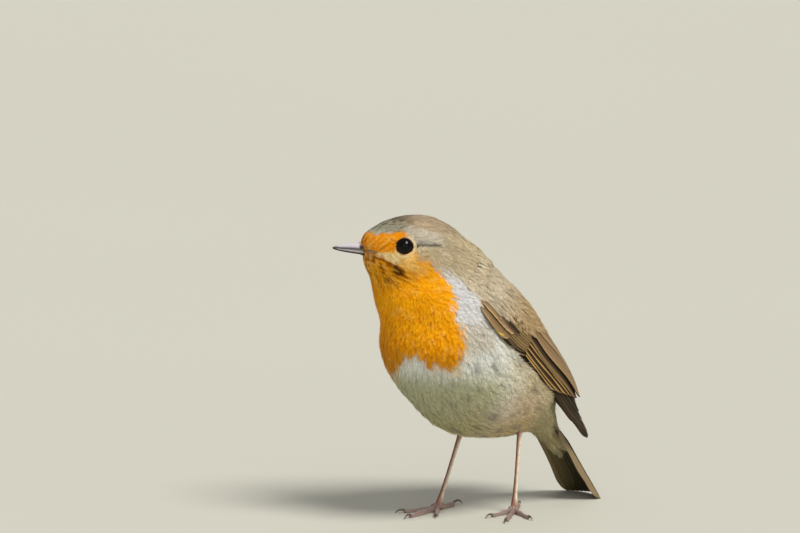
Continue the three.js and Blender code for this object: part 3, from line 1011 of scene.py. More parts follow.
# ------------------------------------------------------------------ skin
@dataclass
class Skin:
    """One skin over the flesh of the frame, with the coat's outer surface kept beside it.

    The outer surface climbs a little at the wings' borders, so that the coat laps over them.
    """

    anatomy: Anatomy
    plumage: Plumage
    wings: list["Wing"]
    cell: float = 0.55
    swell: float = 0.25
    throat: Patch = Patch(rise=(60.0, 68.0), fall=(84.0, 78.0), along=(-20.0, -30.0))
    nape: Patch = Patch(rise=(72.0, 79.0), along=(-18.0, -11.0))
    crown: Patch = Patch(rise=(92.5, 96.0))
    breast: Patch = Patch(rise=(34.0, 42.0), fall=(64.0, 56.0), along=(-14.0, -26.0))
    outer: Surface = field(init=False)

    def build(self, lie: "Lie") -> Piece:
        """Makes the skin.

        Args:
            lie: the lie of the coat, which gives the coat's depth at each place.
        Returns:
            The skin piece.
        """
        piece = self.joined_flesh()
        apply(piece, "REMESH", mode="VOXEL", voxel_size=self.cell * MM)
        apply(piece, "SMOOTH", factor=0.5, iterations=10)
        outer = points_of(piece)
        outer = outer - normals_of(piece) * (self.swell + self.slim(outer)[:, None])
        self.outer = Surface(piece, outer)
        depth = lie.read(outer).depth + 2.5 * self.blunt_end(outer, self.outer.normals)
        sunk = outer - self.outer.normals * (depth[:, None] + 0.15)
        rise = np.max([wing.lap(outer) for wing in self.wings], axis=0)
        self.outer = Surface(piece, outer + self.outer.normals * rise[:, None])
        move_points(piece, sunk)
        apply(piece, "SMOOTH", factor=0.5, iterations=4)
        paint(piece, self.plumage.colour(outer) * 0.88)
        bpy.ops.object.shade_smooth()
        look = FeatherFinish("skin", fleck_scale=900.0, fleck=0.2).material()
        return finish(piece, "skin", "breast", look, *FLESH)

    def slim(self, points: Array) -> Array:
        """How far the coat is drawn in at each place: at the throat, crown and nape, less at the breast.

        Args:
            points: places on the body.
        Returns:
            A depth in millimetres for each, below 0 where the coat is fuller.
        """
        at = self.anatomy.spots(points)
        upper = np.maximum(1.1 * self.nape.cover(at), 0.6 * self.crown.cover(at))
        return 1.2 * self.throat.cover(at) + upper - self.breast.cover(at)

    def blunt_end(self, points: Array, normals: Array) -> Array:
        """How much of each place is the rounded end of the rump, which the tail's coverts hide.

        Args:
            points: places in the frame, one a row.
            normals: the outward direction at each.
        Returns:
            A share from 0 to 1 for each place.
        """
        along = self.anatomy.unturned(points)[:, 1]
        facing = normals @ unit(np.array(TAIL_WAY))
        return smoothstep(0.35, 0.8, facing) * smoothstep(25.0, 29.0, along)

    def joined_flesh(self) -> Piece:
        """The flesh parts and the eyes copied, joined and swollen until they meet.

        Returns:
            The piece, still to be remeshed.
        """
        bpy.ops.object.select_all(action="DESELECT")
        copies = []
        for node in (*FLESH, "eye_left", "eye_right"):
            copy = frame["nodes"][node].copy()
            copy.data = copy.data.copy()
            copy.parent = None
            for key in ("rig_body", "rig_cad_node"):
                del copy[key]
            bpy.context.scene.collection.objects.link(copy)
            copy.select_set(True)
            copies.append(copy)
        bpy.context.view_layer.objects.active = copies[0]
        bpy.ops.object.join()
        piece = bpy.context.view_layer.objects.active
        piece.name = piece.data.name = "skin"
        piece.data.materials.clear()
        bpy.ops.object.mode_set(mode="EDIT")
        bpy.ops.mesh.select_all(action="SELECT")
        bpy.ops.mesh.remove_doubles(threshold=0.01 * MM)
        bpy.ops.mesh.normals_make_consistent(inside=False)
        bpy.ops.transform.shrink_fatten(value=self.swell * MM)
        bpy.ops.object.mode_set(mode="OBJECT")
        return piece


def finish(piece: Piece, name: str, slot: str, material: bpy.types.Material, *nodes: str) -> Piece:
    """Names a piece and sets it on the body.

    Args:
        piece: the piece.
        name: its name.
        slot: the slot of its material; not used.
        material: its finish.
        nodes: the frame parts that it replaces.
    Returns:
        The same piece.
    """
    piece.name = piece.data.name = name
    piece.data.materials.append(material)
    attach(piece, "root")
    if nodes:
        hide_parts(*nodes)
    LOG.info("%s: %d faces", name, len(piece.data.polygons))
    return piece


# ------------------------------------------------------------------ the lie of the coat
@dataclass(frozen=True)
class Station:
    """How the coat lies at one place of the straight bird: where, which way, and how big."""

    along: float
    height: float
    way: Pair
    length: float
    width: float
    spacing: float
    depth: float
    lift: float = 0.02


STATIONS = {
    "bill base": Station(-38.5, 90.5, (0.6, 0.8), 1.2, 0.55, 0.40, 0.30, 0.12),
    "forehead": Station(-35.0, 94.0, (0.85, 0.5), 1.8, 0.75, 0.48, 0.40, 0.08),
    "crown": Station(-26.0, 98.5, (1.0, 0.0), 3.0, 1.3, 0.70, 0.60, 0.05),
    "hind crown": Station(-15.0, 97.0, (0.9, -0.4), 3.6, 1.6, 0.85, 0.80, 0.05),
    "nape": Station(-8.0, 90.0, (0.75, -0.65), 4.2, 2.0, 1.00, 1.00, 0.05),
    "hind neck": Station(0.0, 80.0, (0.72, -0.7), 5.2, 2.5, 1.12, 1.30, 0.04),
    "mantle": Station(8.0, 70.0, (0.7, -0.7), 6.2, 3.0, 1.25, 1.50),
    "back": Station(18.0, 56.0, (0.68, -0.73), 6.5, 3.2, 1.40, 1.60),
    "rump": Station(24.0, 46.0, (0.65, -0.76), 7.0, 3.3, 1.40, 1.60),
    "over tail": Station(29.0, 40.0, (0.6, -0.8), 9.0, 3.5, 1.50, 1.20),
    "chin": Station(-37.5, 86.0, (0.6, -0.8), 1.6, 0.6, 0.44, 0.35, 0.10),
    "throat": Station(-36.0, 78.0, (0.2, -0.98), 3.0, 1.1, 0.68, 0.80, 0.06),
    "upper breast": Station(-36.0, 68.0, (0.05, -1.0), 4.5, 1.8, 0.92, 1.30, 0.04),
    "breast": Station(-33.0, 58.0, (0.15, -0.99), 5.5, 2.2, 1.08, 1.70, 0.03),
    "low breast": Station(-29.0, 48.0, (0.35, -0.94), 6.2, 2.6, 1.22, 1.90),
    "belly": Station(-18.0, 35.0, (0.8, -0.6), 7.0, 3.0, 1.35, 2.00),
    "under belly": Station(-5.0, 28.0, (1.0, -0.15), 7.5, 3.2, 1.42, 2.00),
    "vent": Station(12.0, 27.0, (0.95, -0.3), 7.0, 3.1, 1.38, 1.80),
    "under tail": Station(26.0, 28.0, (0.6, -0.8), 7.5, 2.6, 1.30, 1.40),
    "tail base": Station(34.0, 18.0, (0.6, -0.8), 6.0, 2.2, 1.25, 1.00),
    "breast side": Station(-16.0, 58.0, (0.45, -0.89), 6.0, 2.5, 1.18, 1.80),
    "flank": Station(0.0, 46.0, (0.7, -0.7), 7.5, 3.1, 1.38, 2.00),
    "thigh": Station(10.0, 36.0, (0.85, -0.5), 7.5, 3.1, 1.38, 1.90),
    "neck side": Station(-12.0, 76.0, (0.45, -0.9), 4.5, 1.9, 0.98, 1.20, 0.03),
    "malar": Station(-32.0, 86.0, (0.75, -0.65), 1.5, 0.6, 0.45, 0.40, 0.08),
    "cheek": Station(-27.0, 85.0, (0.8, -0.55), 2.0, 0.8, 0.52, 0.50, 0.06),
    "ear": Station(-19.0, 86.0, (0.88, -0.48), 3.0, 1.2, 0.70, 0.70, 0.04),
    "temple": Station(-18.0, 91.0, (0.97, -0.2), 2.8, 1.1, 0.66, 0.60, 0.04),
    "lore": Station(-32.5, 89.5, (0.9, 0.3), 1.2, 0.5, 0.40, 0.30, 0.08),
    "brow": Station(-26.0, 94.0, (0.97, 0.15), 2.0, 0.8, 0.54, 0.40, 0.05),
}


@dataclass
class Reading:
    """What the coat is like at each of many places."""

    way: Array
    length: Array
    width: Array
    spacing: Array
    depth: Array
    lift: Array


@dataclass
class Lie:
    """Reads the stations at any place, each place leaning on the stations nearest to it."""

    anatomy: Anatomy
    softness: float = 3.0
    flatness: float = 0.5
    evenness: float = 0.7
    eye_radius: float = 2.8
    eye_side: float = 3.0

    def read(self, points: Array) -> Reading:
        """Which way the coat lies and how big its feathers are at each place.

        Args:
            points: places in the frame, one a row.
        Returns:
            The way, the sizes and the depth at each place.
        """
        own = self.anatomy.unturned(points)
        rows = list(STATIONS.values())
        spots = np.array([(row.along, row.height) for row in rows])
        sizes = np.array([(row.length, row.width, row.spacing, row.depth, row.lift) for row in rows])
        ways = np.array([row.way for row in rows])
        gap = ((own[:, None, 1:] - spots[None]) ** 2).sum(axis=2)
        weight = 1.0 / (gap + self.softness) ** 2
        weight /= weight.sum(axis=1, keepdims=True)
        flat = unit(weight @ ways)
        flat, ease = self.round_the_eye(own, flat)
        way = np.zeros_like(points)
        way[:, 1:] = flat
        values = weight @ sizes * np.array([1.0, 1.0, 1.0, self.flatness, self.evenness])
        way = self.anatomy.turned(way, points)
        return Reading(way, values[:, 0] * ease, *values[:, 1:].T)

    def round_the_eye(self, own: Array, flat: Array) -> tuple[Array, Array]:
        """Parts the coat round the eye as a stream parts round a stone, and shortens it there.

        Args:
            own: the places on the straight bird.
            flat: which way the coat lies there, along and up.
        Returns:
            The parted ways, and the share of the length that each place keeps.
        """
        arm = own[:, 1:] - self.anatomy.eye_spot()
        reach = np.linalg.norm(arm, axis=1)
        arm = unit(arm)
        beside = np.abs(own[:, 0]) > self.eye_side
        push = (self.eye_radius / np.maximum(reach, self.eye_radius)) ** 2
        push *= beside * smoothstep(7.0, 5.0, reach)
        bent = flat + push[:, None] * (flat - 2.0 * (flat * arm).sum(axis=1)[:, None] * arm)
        near = smoothstep(self.eye_radius, 6.0, reach) * 0.6 + 0.4
        return unit(bent + 0.02 * arm), np.where(beside, near, 1.0)


# ------------------------------------------------------------------ feathers of the coat
@dataclass
class Quills:
    """Many small feathers: the run of each over the bird, its size and its colour."""

    runs: Array
    ups: Array
    length: Array
    width: Array
    depth: Array
    lift: Array
    tone: Array
    chart: Array

    def part(self, chosen: Array) -> "Quills":
        """Some of the feathers."""
        return Quills(*(getattr(self, name)[chosen] for name in self.__dataclass_fields__))

    def __len__(self) -> int:
        """How many feathers there are."""
        return len(self.length)


@dataclass(frozen=True)
class Barbs:
    """How one small feather is drawn: barbs from both sides of its shaft, over a narrow vane."""

    count: int
    thickness: float
    splay: float = 0.42
    bow: float = 0.10
    # How dark a barb's foot is and how light its tip: partly the feather's duller base, partly painted
    # shade where other feathers lie over the foot.
    base_shade: float = 0.90
    tip_shade: float = 1.04
    variation: float = 0.09
    sparkle: float = 0.18
    patch: float = 0.003
    plate: bool = True
    # How unevenly the barbs end, spread and rise, in shares of the feather and in mm.
    uneven_end: float = 0.045
    uneven_side: float = 0.11
    uneven_rise: float = 0.022
    # The plate's width, in shares of the feather's, and how far under the barbs it lies, in mm.
    plate_width: float = 0.30
    plate_sink: float = 0.08
    # How much of a barb's colour is that of the marks at its tip.
    marking: float = 0.65

    def plan(self) -> tuple[Array, Array, Array]:
        """Where each barb starts along the shaft, and where its tip ends along and across.

        Returns:
            The start, the end and the side of each barb, in shares of the feather.
        """
        if not self.plate:
            fan = np.linspace(-1.0, 1.0, self.count)
            return 0.0 * fan, 1.0 - 0.12 * np.abs(fan), fan
        k = np.arange(self.count) / self.count
        start = 0.10 + 0.82 * k
        end = start + (1.04 - start) * (self.splay + 0.52 * k)
        across = np.sqrt(np.clip(1.0 - ((end - 0.48) / 0.56) ** 2, 0.03, 1.0))
        starts = np.concatenate([start, start + 0.02, [0.0, 0.72]])
        ends = np.concatenate([end, end, [0.78, 1.03]])
        sides = np.concatenate([across, -across, [0.0, 0.0]])
        return starts, ends, sides

    def mesh(
        self, name: str, quills: Quills, rng: Rng, markings: Callable[[Array], Array] | None = None
    ) -> Piece:
        """Draws all the feathers as one piece.

        Args:
            name: the piece's name.
            quills: the feathers.
            rng: the source of their small differences.
            markings: gives the colour at any place, to draw marks finer than a feather.
        Returns:
            The piece, coloured and mapped.
        """
        starts, ends, sides = self.plan()
        count, barbs = len(quills), len(starts)
        jitter = rng.normal(size=(3, count, barbs))
        start = np.broadcast_to(starts, (count, barbs))
        end = ends + self.uneven_end * jitter[0]
        side = sides + self.uneven_side * jitter[1]
        half = self.thickness / 2.0 * rng.uniform(0.7, 1.25, (count, barbs))
        if self.plate:
            half[:, -2] = self.plate_width * quills.width
        length, reach = quills.length[:, None], quills.width[:, None] / 2.0
        run = np.stack([(end - start) * length, side * reach], axis=-1)
        across = np.stack([-run[..., 1], run[..., 0]], axis=-1)
        across = across / np.maximum(np.linalg.norm(run, axis=-1), 1e-6)[..., None]
        across = across * half[..., None] / np.stack([length + 0 * half, reach + 0 * half], axis=-1)
        middle = 0.55 + 0.05 * jitter[2]
        foot = np.stack([start, 0 * side], axis=-1)
        mid = np.stack([start + (end - start) * middle, side * middle + self.bow * side], axis=-1)
        tip = np.stack([end, side], axis=-1)
        edge = 0.9 * across
        corners = np.stack([foot - across, foot + across, mid + edge, mid - edge, tip], axis=2)
        a, b = corners[..., 0], corners[..., 1]
        bend = np.array([0, 0, 0.6, 0.6, 1.6])
        rise = rng.normal(0.0, self.uneven_rise, (count, barbs))[..., None] * bend
        rise = rise - 0.13 * b**2 * reach[..., None] + np.array([0.02, 0.02, 0, 0, 0])
        if self.plate:
            rise[:, -2] -= self.plate_sink
        points, ups = self.place(quills, a, b, rise)
        ups = ups + self.sparkle * rng.normal(size=(count, barbs, 1, 3))
        own = np.broadcast_to(quills.tone[:, None], (count, barbs, 3))
        if markings is not None:
            marks = markings(points[:, :, 4].reshape(-1, 3)).reshape(count, barbs, 3)
            own = (1.0 - self.marking) * own + self.marking * marks
        tone = self.shade(own, a, rng)
        index = np.arange(count * barbs)[:, None] * 5
        faces = (index[:, None] + np.array([[0, 3, 2], [0, 2, 1], [3, 4, 2]])[None]).reshape(-1, 3)
        piece = mesh_piece(name, points.reshape(-1, 3), faces)
        shade_as(piece, unit(ups).reshape(-1, 3))
        paint(piece, tone.reshape(-1, 3))
        spot = np.array([[0, 0.0], [1, 0.0], [1, 0.5], [0, 0.5], [0.5, 1]])
        spot = quills.chart[:, None, None, :] + self.patch * (spot - 0.5)
        add_map(piece, COAT_MAP, np.broadcast_to(spot, (count, barbs, 5, 2)).reshape(-1, 2))
        return piece

    @staticmethod
    def place(quills: Quills, a: Array, b: Array, rise: Array) -> tuple[Array, Array]:
        """Carries places on the flat feather (along, across, above) onto the bird.

        Args:
            quills: the feathers.
            a: how far along its feather each place is.
            b: how far across, from -1 to 1.
            rise: how far above, in millimetres.
        Returns:
            The places on the bird, and the bird's own outward direction at each.
        """
        last = quills.runs.shape[1] - 1
        step = np.clip(a, -0.1, 1.15) * last
        cell = np.clip(np.floor(step).astype(int), 0, last - 1)
        part = (step - cell)[..., None]
        row = np.arange(len(quills))[:, None, None]
        low, high = quills.runs[row, cell], quills.runs[row, cell + 1]
        up = unit(quills.ups[row, cell] * (1 - part) + quills.ups[row, cell + 1] * part)
        forward = unit(high - low)
        left = unit(np.cross(up, forward))
        shape = (slice(None), None, None)
        sink = -quills.depth[shape] * np.clip(1.0 - a, 0.0, 1.2) ** 1.25
        stand = quills.lift[shape] * quills.length[shape] * np.clip(a, 0.0, 1.2) ** 2
        out = sink + stand + rise
        width = (quills.width[shape] / 2.0 * b)[..., None]
        return low * (1 - part) + high * part + left * width + up * out[..., None], up

    def shade(self, own: Array, a: Array, rng: Rng) -> Array:
        """Each barb's colour: darker at its foot, partly its duller base and partly painted shade from
        the feathers over it, lighter at its tip, none quite like the next.

        Args:
            own: the feather's colour at each barb.
            a: how far along the feather each point is.
            rng: the source of small differences.
        Returns:
            One colour for each point.
        """
        count, barbs = a.shape[:2]
        each = 1.0 + self.variation * rng.normal(size=(count, barbs, 1, 1))
        ramp = self.base_shade + (self.tip_shade - self.base_shade) * np.clip(a, 0, 1)[..., None] ** 0.8
        return own[:, :, None, :] * each * ramp


class Tract(Enum):
    """The tracts that the coat is made in, with the barbs on a side and their thickness."""

    FACE = ("coat_face", "throat", 6, 0.10)
    CROWN = ("coat_crown", "crown", 10, 0.12)
    THROAT = ("coat_throat", "throat", 11, 0.12)
    BREAST = ("coat_breast", "breast", 15, 0.12)
    BELLY = ("coat_belly", "breast", 15, 0.14)
    BACK = ("coat_back", "rump", 15, 0.14)


@dataclass
class Coat:
    """The small feathers of the head and body."""

    anatomy: Anatomy
    plumage: Plumage
    lie: Lie
    skin: Skin
    seed: int = 7
    steps: int = 4
    density: float = 0.82
    most_faces: int = 190_000
    tries: float = 4.5
    # Where the feathers hang free of the body, and where their colours differ most.
    loose: Patch = Patch(fall=(36.0, 30.0), along=(20.0, 26.0))
    head: Patch = Patch(rise=(70.0, 78.0), along=(-12.0, -20.0))
    jaw: Patch = Patch(fall=(89.0, 86.0), along=(-24.0, -29.0))
    # The middle of the body from the bill to the tail, which the coat's map is wrapped round.
    spine: Line = (
        (-39.0, 89.0), (-22.0, 88.0), (-9.0, 70.0), (0.0, 50.0), (18.0, 38.0), (36.0, 12.0),
    )
    # The height of the line between the back's tract and the belly's.
    tract_line: Line = ((-22.0, 84.0), (-12.0, 70.0), (-4.0, 60.0), (18.0, 44.0), (27.0, 36.0))

    def build(self) -> list[Piece]:
        """Sows, grows and draws the whole coat.

        Returns:
            The pieces of the coat.
        """
        rng = np.random.default_rng(self.seed)
        roots = self.sow(rng)
        roots = roots[self.open_to_air(roots)]
        quills = self.grow(roots, rng)
        own = self.anatomy.unturned(roots)
        tracts = self.tract_of(own)
        look = FeatherFinish("plumage").material()
        pieces = []
        for number, tract in enumerate(Tract):
            name, slot, count, thickness = tract.value
            barbs = Barbs(count, thickness)
            chosen = np.flatnonzero(tracts == number)
            chosen = chosen[np.argsort(own[chosen, 0])]
            parts = math.ceil(len(chosen) * (count * 2 + 2) * 3 / self.most_faces)
            for k, some in enumerate(np.array_split(chosen, max(parts, 1))):
                piece = barbs.mesh(f"{name}_{k + 1}", quills.part(some), rng, self.plumage.colour)
                pieces.append(finish(piece, piece.name, slot, look))
        pieces.append(self.wisps(roots, own, rng, look))
        return pieces

    def wisps(self, roots: Array, own: Array, rng: Rng, material: bpy.types.Material) -> Piece:
        """Loose hair-fine strands over the coat, which blur the feathers' edges.

        Args:
            roots: the roots of the feathers, some of which bear wisps too.
            own: the same roots on the straight bird.
            rng: the source of their small differences.
            material: the coat's finish.
        Returns:
            The piece.
        """
        small = (own[:, 2] > 82.0) & (own[:, 1] < -22.0)
        some = roots[rng.random(len(roots)) < np.where(small, 0.25, 0.75)]
        quills = self.grow(some, rng, stray=0.22)
        quills.length *= 1.12
        quills.width *= 0.85
        quills.lift += np.abs(rng.normal(0.0, 0.03, len(quills)))
        quills.depth *= 0.5
        quills.tone *= rng.uniform(0.95, 1.12, (len(quills), 1))
        barbs = Barbs(5, 0.075, base_shade=0.98, tip_shade=1.06, plate=False)
        piece = barbs.mesh("coat_wisps", quills, rng, self.plumage.colour)
        return finish(piece, piece.name, "breast", material)

    def tract_of(self, own: Array) -> Array:
        """The number of the tract that each root belongs to.

        Args:
            own: the roots on the straight bird.
        Returns:
            One number for each root, in the order of Tract.
        """
        side, along, height = np.abs(own[:, 0]), own[:, 1], own[:, 2]
        face, crown, throat, breast, belly, back = range(len(Tract))
        tract = np.full(len(own), belly)
        line = on_line(self.tract_line, along)
        tract[height > line] = back
        tract[(along < -14.0) & (height < 82.0) & (height > 50.0)] = breast
        tract[(along < -14.0) & (height < 84.0) & (height > 73.0)] = throat
        tract[(height >= 84.0)] = crown
        tract[(height >= 82.0) & (height < 95.5) & (along < -22.0)] = face
        tract[(height >= 80.0) & (height < 90.0) & (along < -28.0) & (side < 9.0)] = face
        return tract

    def sow(self, rng: Rng) -> Array:
        """Scatters roots over the outer surface, none nearer to another than the lie allows.

        Args:
            rng: the source of small differences.
        Returns:
            The roots, one a row.
        """
        outer = self.skin.outer
        centres = outer.points[outer.triangles].mean(axis=1)
        spacing = self.lie.read(centres).spacing * self.density
        number = rng.poisson(outer.areas / spacing**2 * self.tries)
        which = np.repeat(np.arange(len(number)), number)
        rng.shuffle(which)
        u, v = rng.random((2, len(which), 1))
        over = (u + v) > 1.0
        u, v = np.where(over, 1 - u, u), np.where(over, 1 - v, v)
        corner = outer.points[outer.triangles[which]]
        spots = corner[:, 0] + u * (corner[:, 1] - corner[:, 0]) + v * (corner[:, 2] - corner[:, 0])
        return spots[spread_out(spots, spacing[which])]

    def open_to_air(self, roots: Array) -> Array:
        """Leaves out the roots under a wing, in an eye socket and inside the bill.

        Args:
            roots: the roots of the feathers, one a row.
        Returns:
            Whether each root is kept.
        """
        spot, normal = self.skin.outer.nearest(roots)
        keep = self.skin.blunt_end(spot, normal) < 0.4
        for wing in self.skin.wings:
            keep &= ~wing.hides(roots)
        for side in ("left", "right"):
            eye = self.anatomy.centre(f"eye_{side}")
            gaze = self.anatomy.gaze(1.0 if side == "left" else -1.0)
            hole = np.linalg.norm(np.cross(roots - eye, gaze), axis=1)
            keep &= (hole > 3.0) | (np.linalg.norm(roots - eye, axis=1) > 5.0)
        forward, left, up = self.anatomy.from_head(roots)
        slim = np.clip((self.anatomy.bill_tip - forward) / self.anatomy.bill_length, 0.0, 1.0) ** 0.72
        inside = (left / (0.2 + 2.7 * slim)) ** 2 + ((up + 0.8) / (0.2 + 2.1 * slim)) ** 2 < 1.0
        return keep & ~(inside & (forward > 8.0))

    def grow(self, roots: Array, rng: Rng, stray: float = 0.10) -> Quills:
        """Runs each feather from its root along the lie, over the bird's surface.

        Args:
            roots: where the feathers start.
            rng: the source of their small differences.
            stray: how far they turn from the lie.
        Returns:
            The feathers.
        """
        outer = self.skin.outer
        spot, normal = outer.nearest(roots)
        read = self.lie.read(roots)
        count = len(roots)
        length = read.length * rng.uniform(0.85, 1.15, count)
        turn = rng.normal(0.0, stray, (count, 1))
        runs, ups = [spot], [normal]
        at = self.anatomy.spots(roots)
        loose = self.loose.cover(at)[:, None]
        for _ in range(self.steps):
            way = self.lie.read(spot).way
            way = way - normal * (way * normal).sum(axis=1)[:, None]
            way = unit(unit(way) + np.cross(normal, unit(way)) * turn)
            free = spot + way * (length / self.steps)[:, None]
            spot, near = outer.nearest(free)
            spot = spot + (free - spot) * 0.9 * loose
            normal = unit(near + (normal - near) * 0.9 * loose)
            runs.append(spot)
            ups.append(normal)
        runs, ups = np.stack(runs, axis=1), np.stack(ups, axis=1)
        seen = runs[:, 2] * 0.4 + runs[:, 4] * 0.6
        fray = rng.normal(0.0, 0.25, seen.shape) * (read.length / 4.0)[:, None]
        tone = self.plumage.colour(seen + fray)
        head = self.head.cover(at)
        jaw = self.jaw.cover(at) * head
        change = (0.06 + 0.08 * head + 0.20 * jaw) * np.clip(rng.normal(size=count), -1.8, 1.8)
        tone = tone * (1.0 + change[:, None] * np.array([0.75, 1.0, 1.35]))
        depth = read.depth * rng.uniform(0.85, 1.1, count)
        lift = read.lift + np.abs(rng.normal(0.0, 0.02, count))
        width = read.width * rng.uniform(0.85, 1.15, count)
        return Quills(runs, ups, length, width, depth, lift, tone, self.chart(roots))

    def chart(self, roots: Array) -> Array:
        """A place for each root on an unwrap of the skin: round the body and along it.

        Args:
            roots: the roots of the feathers, one a row.
        Returns:
            One map place for each root.
        """
        own = self.anatomy.unturned(roots)
        line = np.array(self.spine)
        lengths = np.concatenate([[0.0], np.cumsum(np.linalg.norm(np.diff(line, axis=0), axis=1))])
        best = np.full(len(own), np.inf)
        along, angle = np.zeros(len(own)), np.zeros(len(own))
        for k in range(len(line) - 1):
            way = (line[k + 1] - line[k]) / (lengths[k + 1] - lengths[k])
            local = own[:, 1:] - line[k]
            reach = np.clip(local @ way, 0.0, lengths[k + 1] - lengths[k])
            rest = local - reach[:, None] * way
            gap = np.linalg.norm(rest, axis=1)
            near = gap < best
            over = rest @ np.array([-way[1], way[0]])
            along[near] = (lengths[k] + local @ way)[near]
            angle[near] = np.arctan2(own[:, 0], over)[near]
            best = np.minimum(best, gap)
        u = 0.02 + 0.96 * (angle + math.pi) / (2.0 * math.pi)
        v = 0.02 + 0.96 * np.clip((along + 6.0) / (lengths[-1] + 12.0), 0.0, 1.0)
        return np.stack([u, v], axis=1)


def spread_out(spots: Array, spacing: Array) -> Array:
    """Picks spots in turn, passing over any that is too near to one already picked.

    Args:
        spots: places in millimetres in the order in which they are tried.
        spacing: the least distance for each.
    Returns:
        The numbers of the picked spots.
    """
    cell = 0.7
    grid: dict[tuple[int, int, int], list[list[float]]] = {}
    picked = []
    homes = np.floor(spots / cell).astype(int).tolist()
    for i, (place, home, least) in enumerate(zip(spots.tolist(), homes, spacing.tolist())):
        reach = math.ceil(least / cell)
        cells = product(*(range(part - reach, part + reach + 1) for part in home))
        if all(math.dist(other, place) >= least for key in cells for other in grid.get(key, ())):
            grid.setdefault(tuple(home), []).append(place)
            picked.append(i)
    return np.array(picked)


# ------------------------------------------------------------------ blades: wings and tail
@dataclass
class Blade:
    """The outer face of a flat frame part, charted by mm along it and mm across it.

    The chart's place across is measured from the middle of the blade on a tail and from the
    lower edge on a wing.
    """

    node: str
    origin: Array
    axis: Array
    spread: Array
    outward: Array
    centred: bool = False
    rows: int = 90
    columns: int = 30
    margin: float = 0.6
    search: float = 14.0

    def __post_init__(self) -> None:
        """Cuts the part into slices and finds its outer face between each slice's edges."""
        piece = frame["nodes"][self.node]
        points, triangles = points_of(piece), triangles_of(piece)
        surface = Surface(piece)
        far = (points - self.origin) @ self.axis
        self.start, self.stop = far.min() + self.margin, far.max() - self.margin
        self.along = np.linspace(self.start, self.stop, self.rows)
        edges = np.concatenate([triangles[:, [0, 1]], triangles[:, [1, 2]], triangles[:, [2, 0]]])
        ends = points[edges]
        reach = (ends - self.origin) @ self.axis
        low, high = [], []
        for s in self.along:
            cut = (reach[:, 0] - s) * (reach[:, 1] - s) <= 0.0
            share = (s - reach[cut, 0]) / (reach[cut, 1] - reach[cut, 0] + 1e-9)
            spots = ends[cut, 0] + (ends[cut, 1] - ends[cut, 0]) * np.clip(share, 0, 1)[:, None]
            across = spots @ self.spread
            low.append(spots[np.argmin(across)])
            high.append(spots[np.argmax(across)])
        low, high = ease(np.array(low), 6), ease(np.array(high), 6)
        self.low, self.high = low, high
        self.width = np.linalg.norm(high - low, axis=1)
        share = np.linspace(0.03, 0.97, self.columns)
        flat = low[:, None] * (1 - share[:, None]) + high[:, None] * share[:, None]
        way = unit(np.cross(self.axis, high - low))
        way *= np.sign(way @ self.outward)[:, None]
        ways = np.broadcast_to(way[:, None], flat.shape).reshape(-1, 3)
        starts = flat.reshape(-1, 3) + ways * self.search
        far = surface.struck(starts, -ways, 2.0 * self.search)
        far = np.where(np.isfinite(far), far, self.search)
        grid = (starts - ways * far[:, None]).reshape(flat.shape)
        for _ in range(3):
            grid = ease(grid, 1)
            grid = ease(grid.swapaxes(0, 1), 1).swapaxes(0, 1)
        self.grid, self.share = grid, share
        normal = np.cross(np.gradient(grid, axis=0), np.gradient(grid, axis=1))
        self.normal = unit(normal * np.sign((normal * way[:, None]).sum(axis=2))[..., None])

    def at(self, s: Array, m: Array) -> tuple[Array, Array]:
        """Places and outward directions on the face.

        Args:
            s: mm along the blade.
            m: mm across it.
        Returns:
            The places and the outward directions, also beyond the edges, where the face runs on.
        """
        row = (s - self.start) / (self.stop - self.start) * (self.rows - 1)
        share = m / self.width_at(s) + (0.5 if self.centred else 0.0)
        column = (share - self.share[0]) / (self.share[-1] - self.share[0]) * (self.columns - 1)
        return self.read(self.grid, row, column), unit(self.read(self.normal, row, column, True))

    def read(self, grid: Array, row: Array, column: Array, hold: bool = False) -> Array:
        """A grid's value between its rows and columns, run on beyond them unless it holds.

        Args:
            grid: the values at the chart's points.
            row: the row asked for, between whole numbers too.
            column: the column asked for.
            hold: whether the value stays the same beyond the edges.
        Returns:
            One value for each row and column.
        """
        i = np.clip(np.floor(row).astype(int), 0, self.rows - 2)
        j = np.clip(np.floor(column).astype(int), 0, self.columns - 2)
        u, v = (row - i)[..., None], (column - j)[..., None]
        if hold:
            u, v = np.clip(u, 0, 1), np.clip(v, 0, 1)
        low = grid[i, j] * (1 - u) + grid[i + 1, j] * u
        high = grid[i, j + 1] * (1 - u) + grid[i + 1, j + 1] * u
        return low * (1 - v) + high * v

    def locate(self, points: Array) -> tuple[Array, Array]:
        """The chart places, along and across, nearest under points of the part.

        Args:
            points: places in the frame, one a row.
        Returns:
            The mm along the blade, and the mm across it.
        """
        s = (points - self.origin) @ self.axis
        low = np.stack([np.interp(s, self.along, self.low[:, k]) for k in range(3)], axis=1)
        high = np.stack([np.interp(s, self.along, self.high[:, k]) for k in range(3)], axis=1)
        return s, ((points - low) * unit(high - low)).sum(axis=1)

    def width_at(self, s: Array) -> Array:
        """How wide the blade is at each place along it."""
        return np.interp(s, self.along, self.width)


def ease(rows: Array, rounds: int) -> Array:
    """Rows smoothed along the first axis, their ends kept.

    Args:
        rows: the values.
        rounds: how often they are smoothed.
    Returns:
        The smoothed values.
    """
    for _ in range(rounds):
        rows = rows.copy()
        rows[1:-1] = rows[1:-1] * 0.5 + (rows[:-2] + rows[2:]) * 0.25
    return rows


@dataclass(frozen=True)
class VaneLook:
    """The shades of a large feather, and in mm the widths of its fringes and of its rounded end."""

    web: str = "wing_web"
    fringe: str = "wing_fringe"
    fringe_width: float = 0.55
    tip_fringe: float = 0.25
    point: float = 1.2


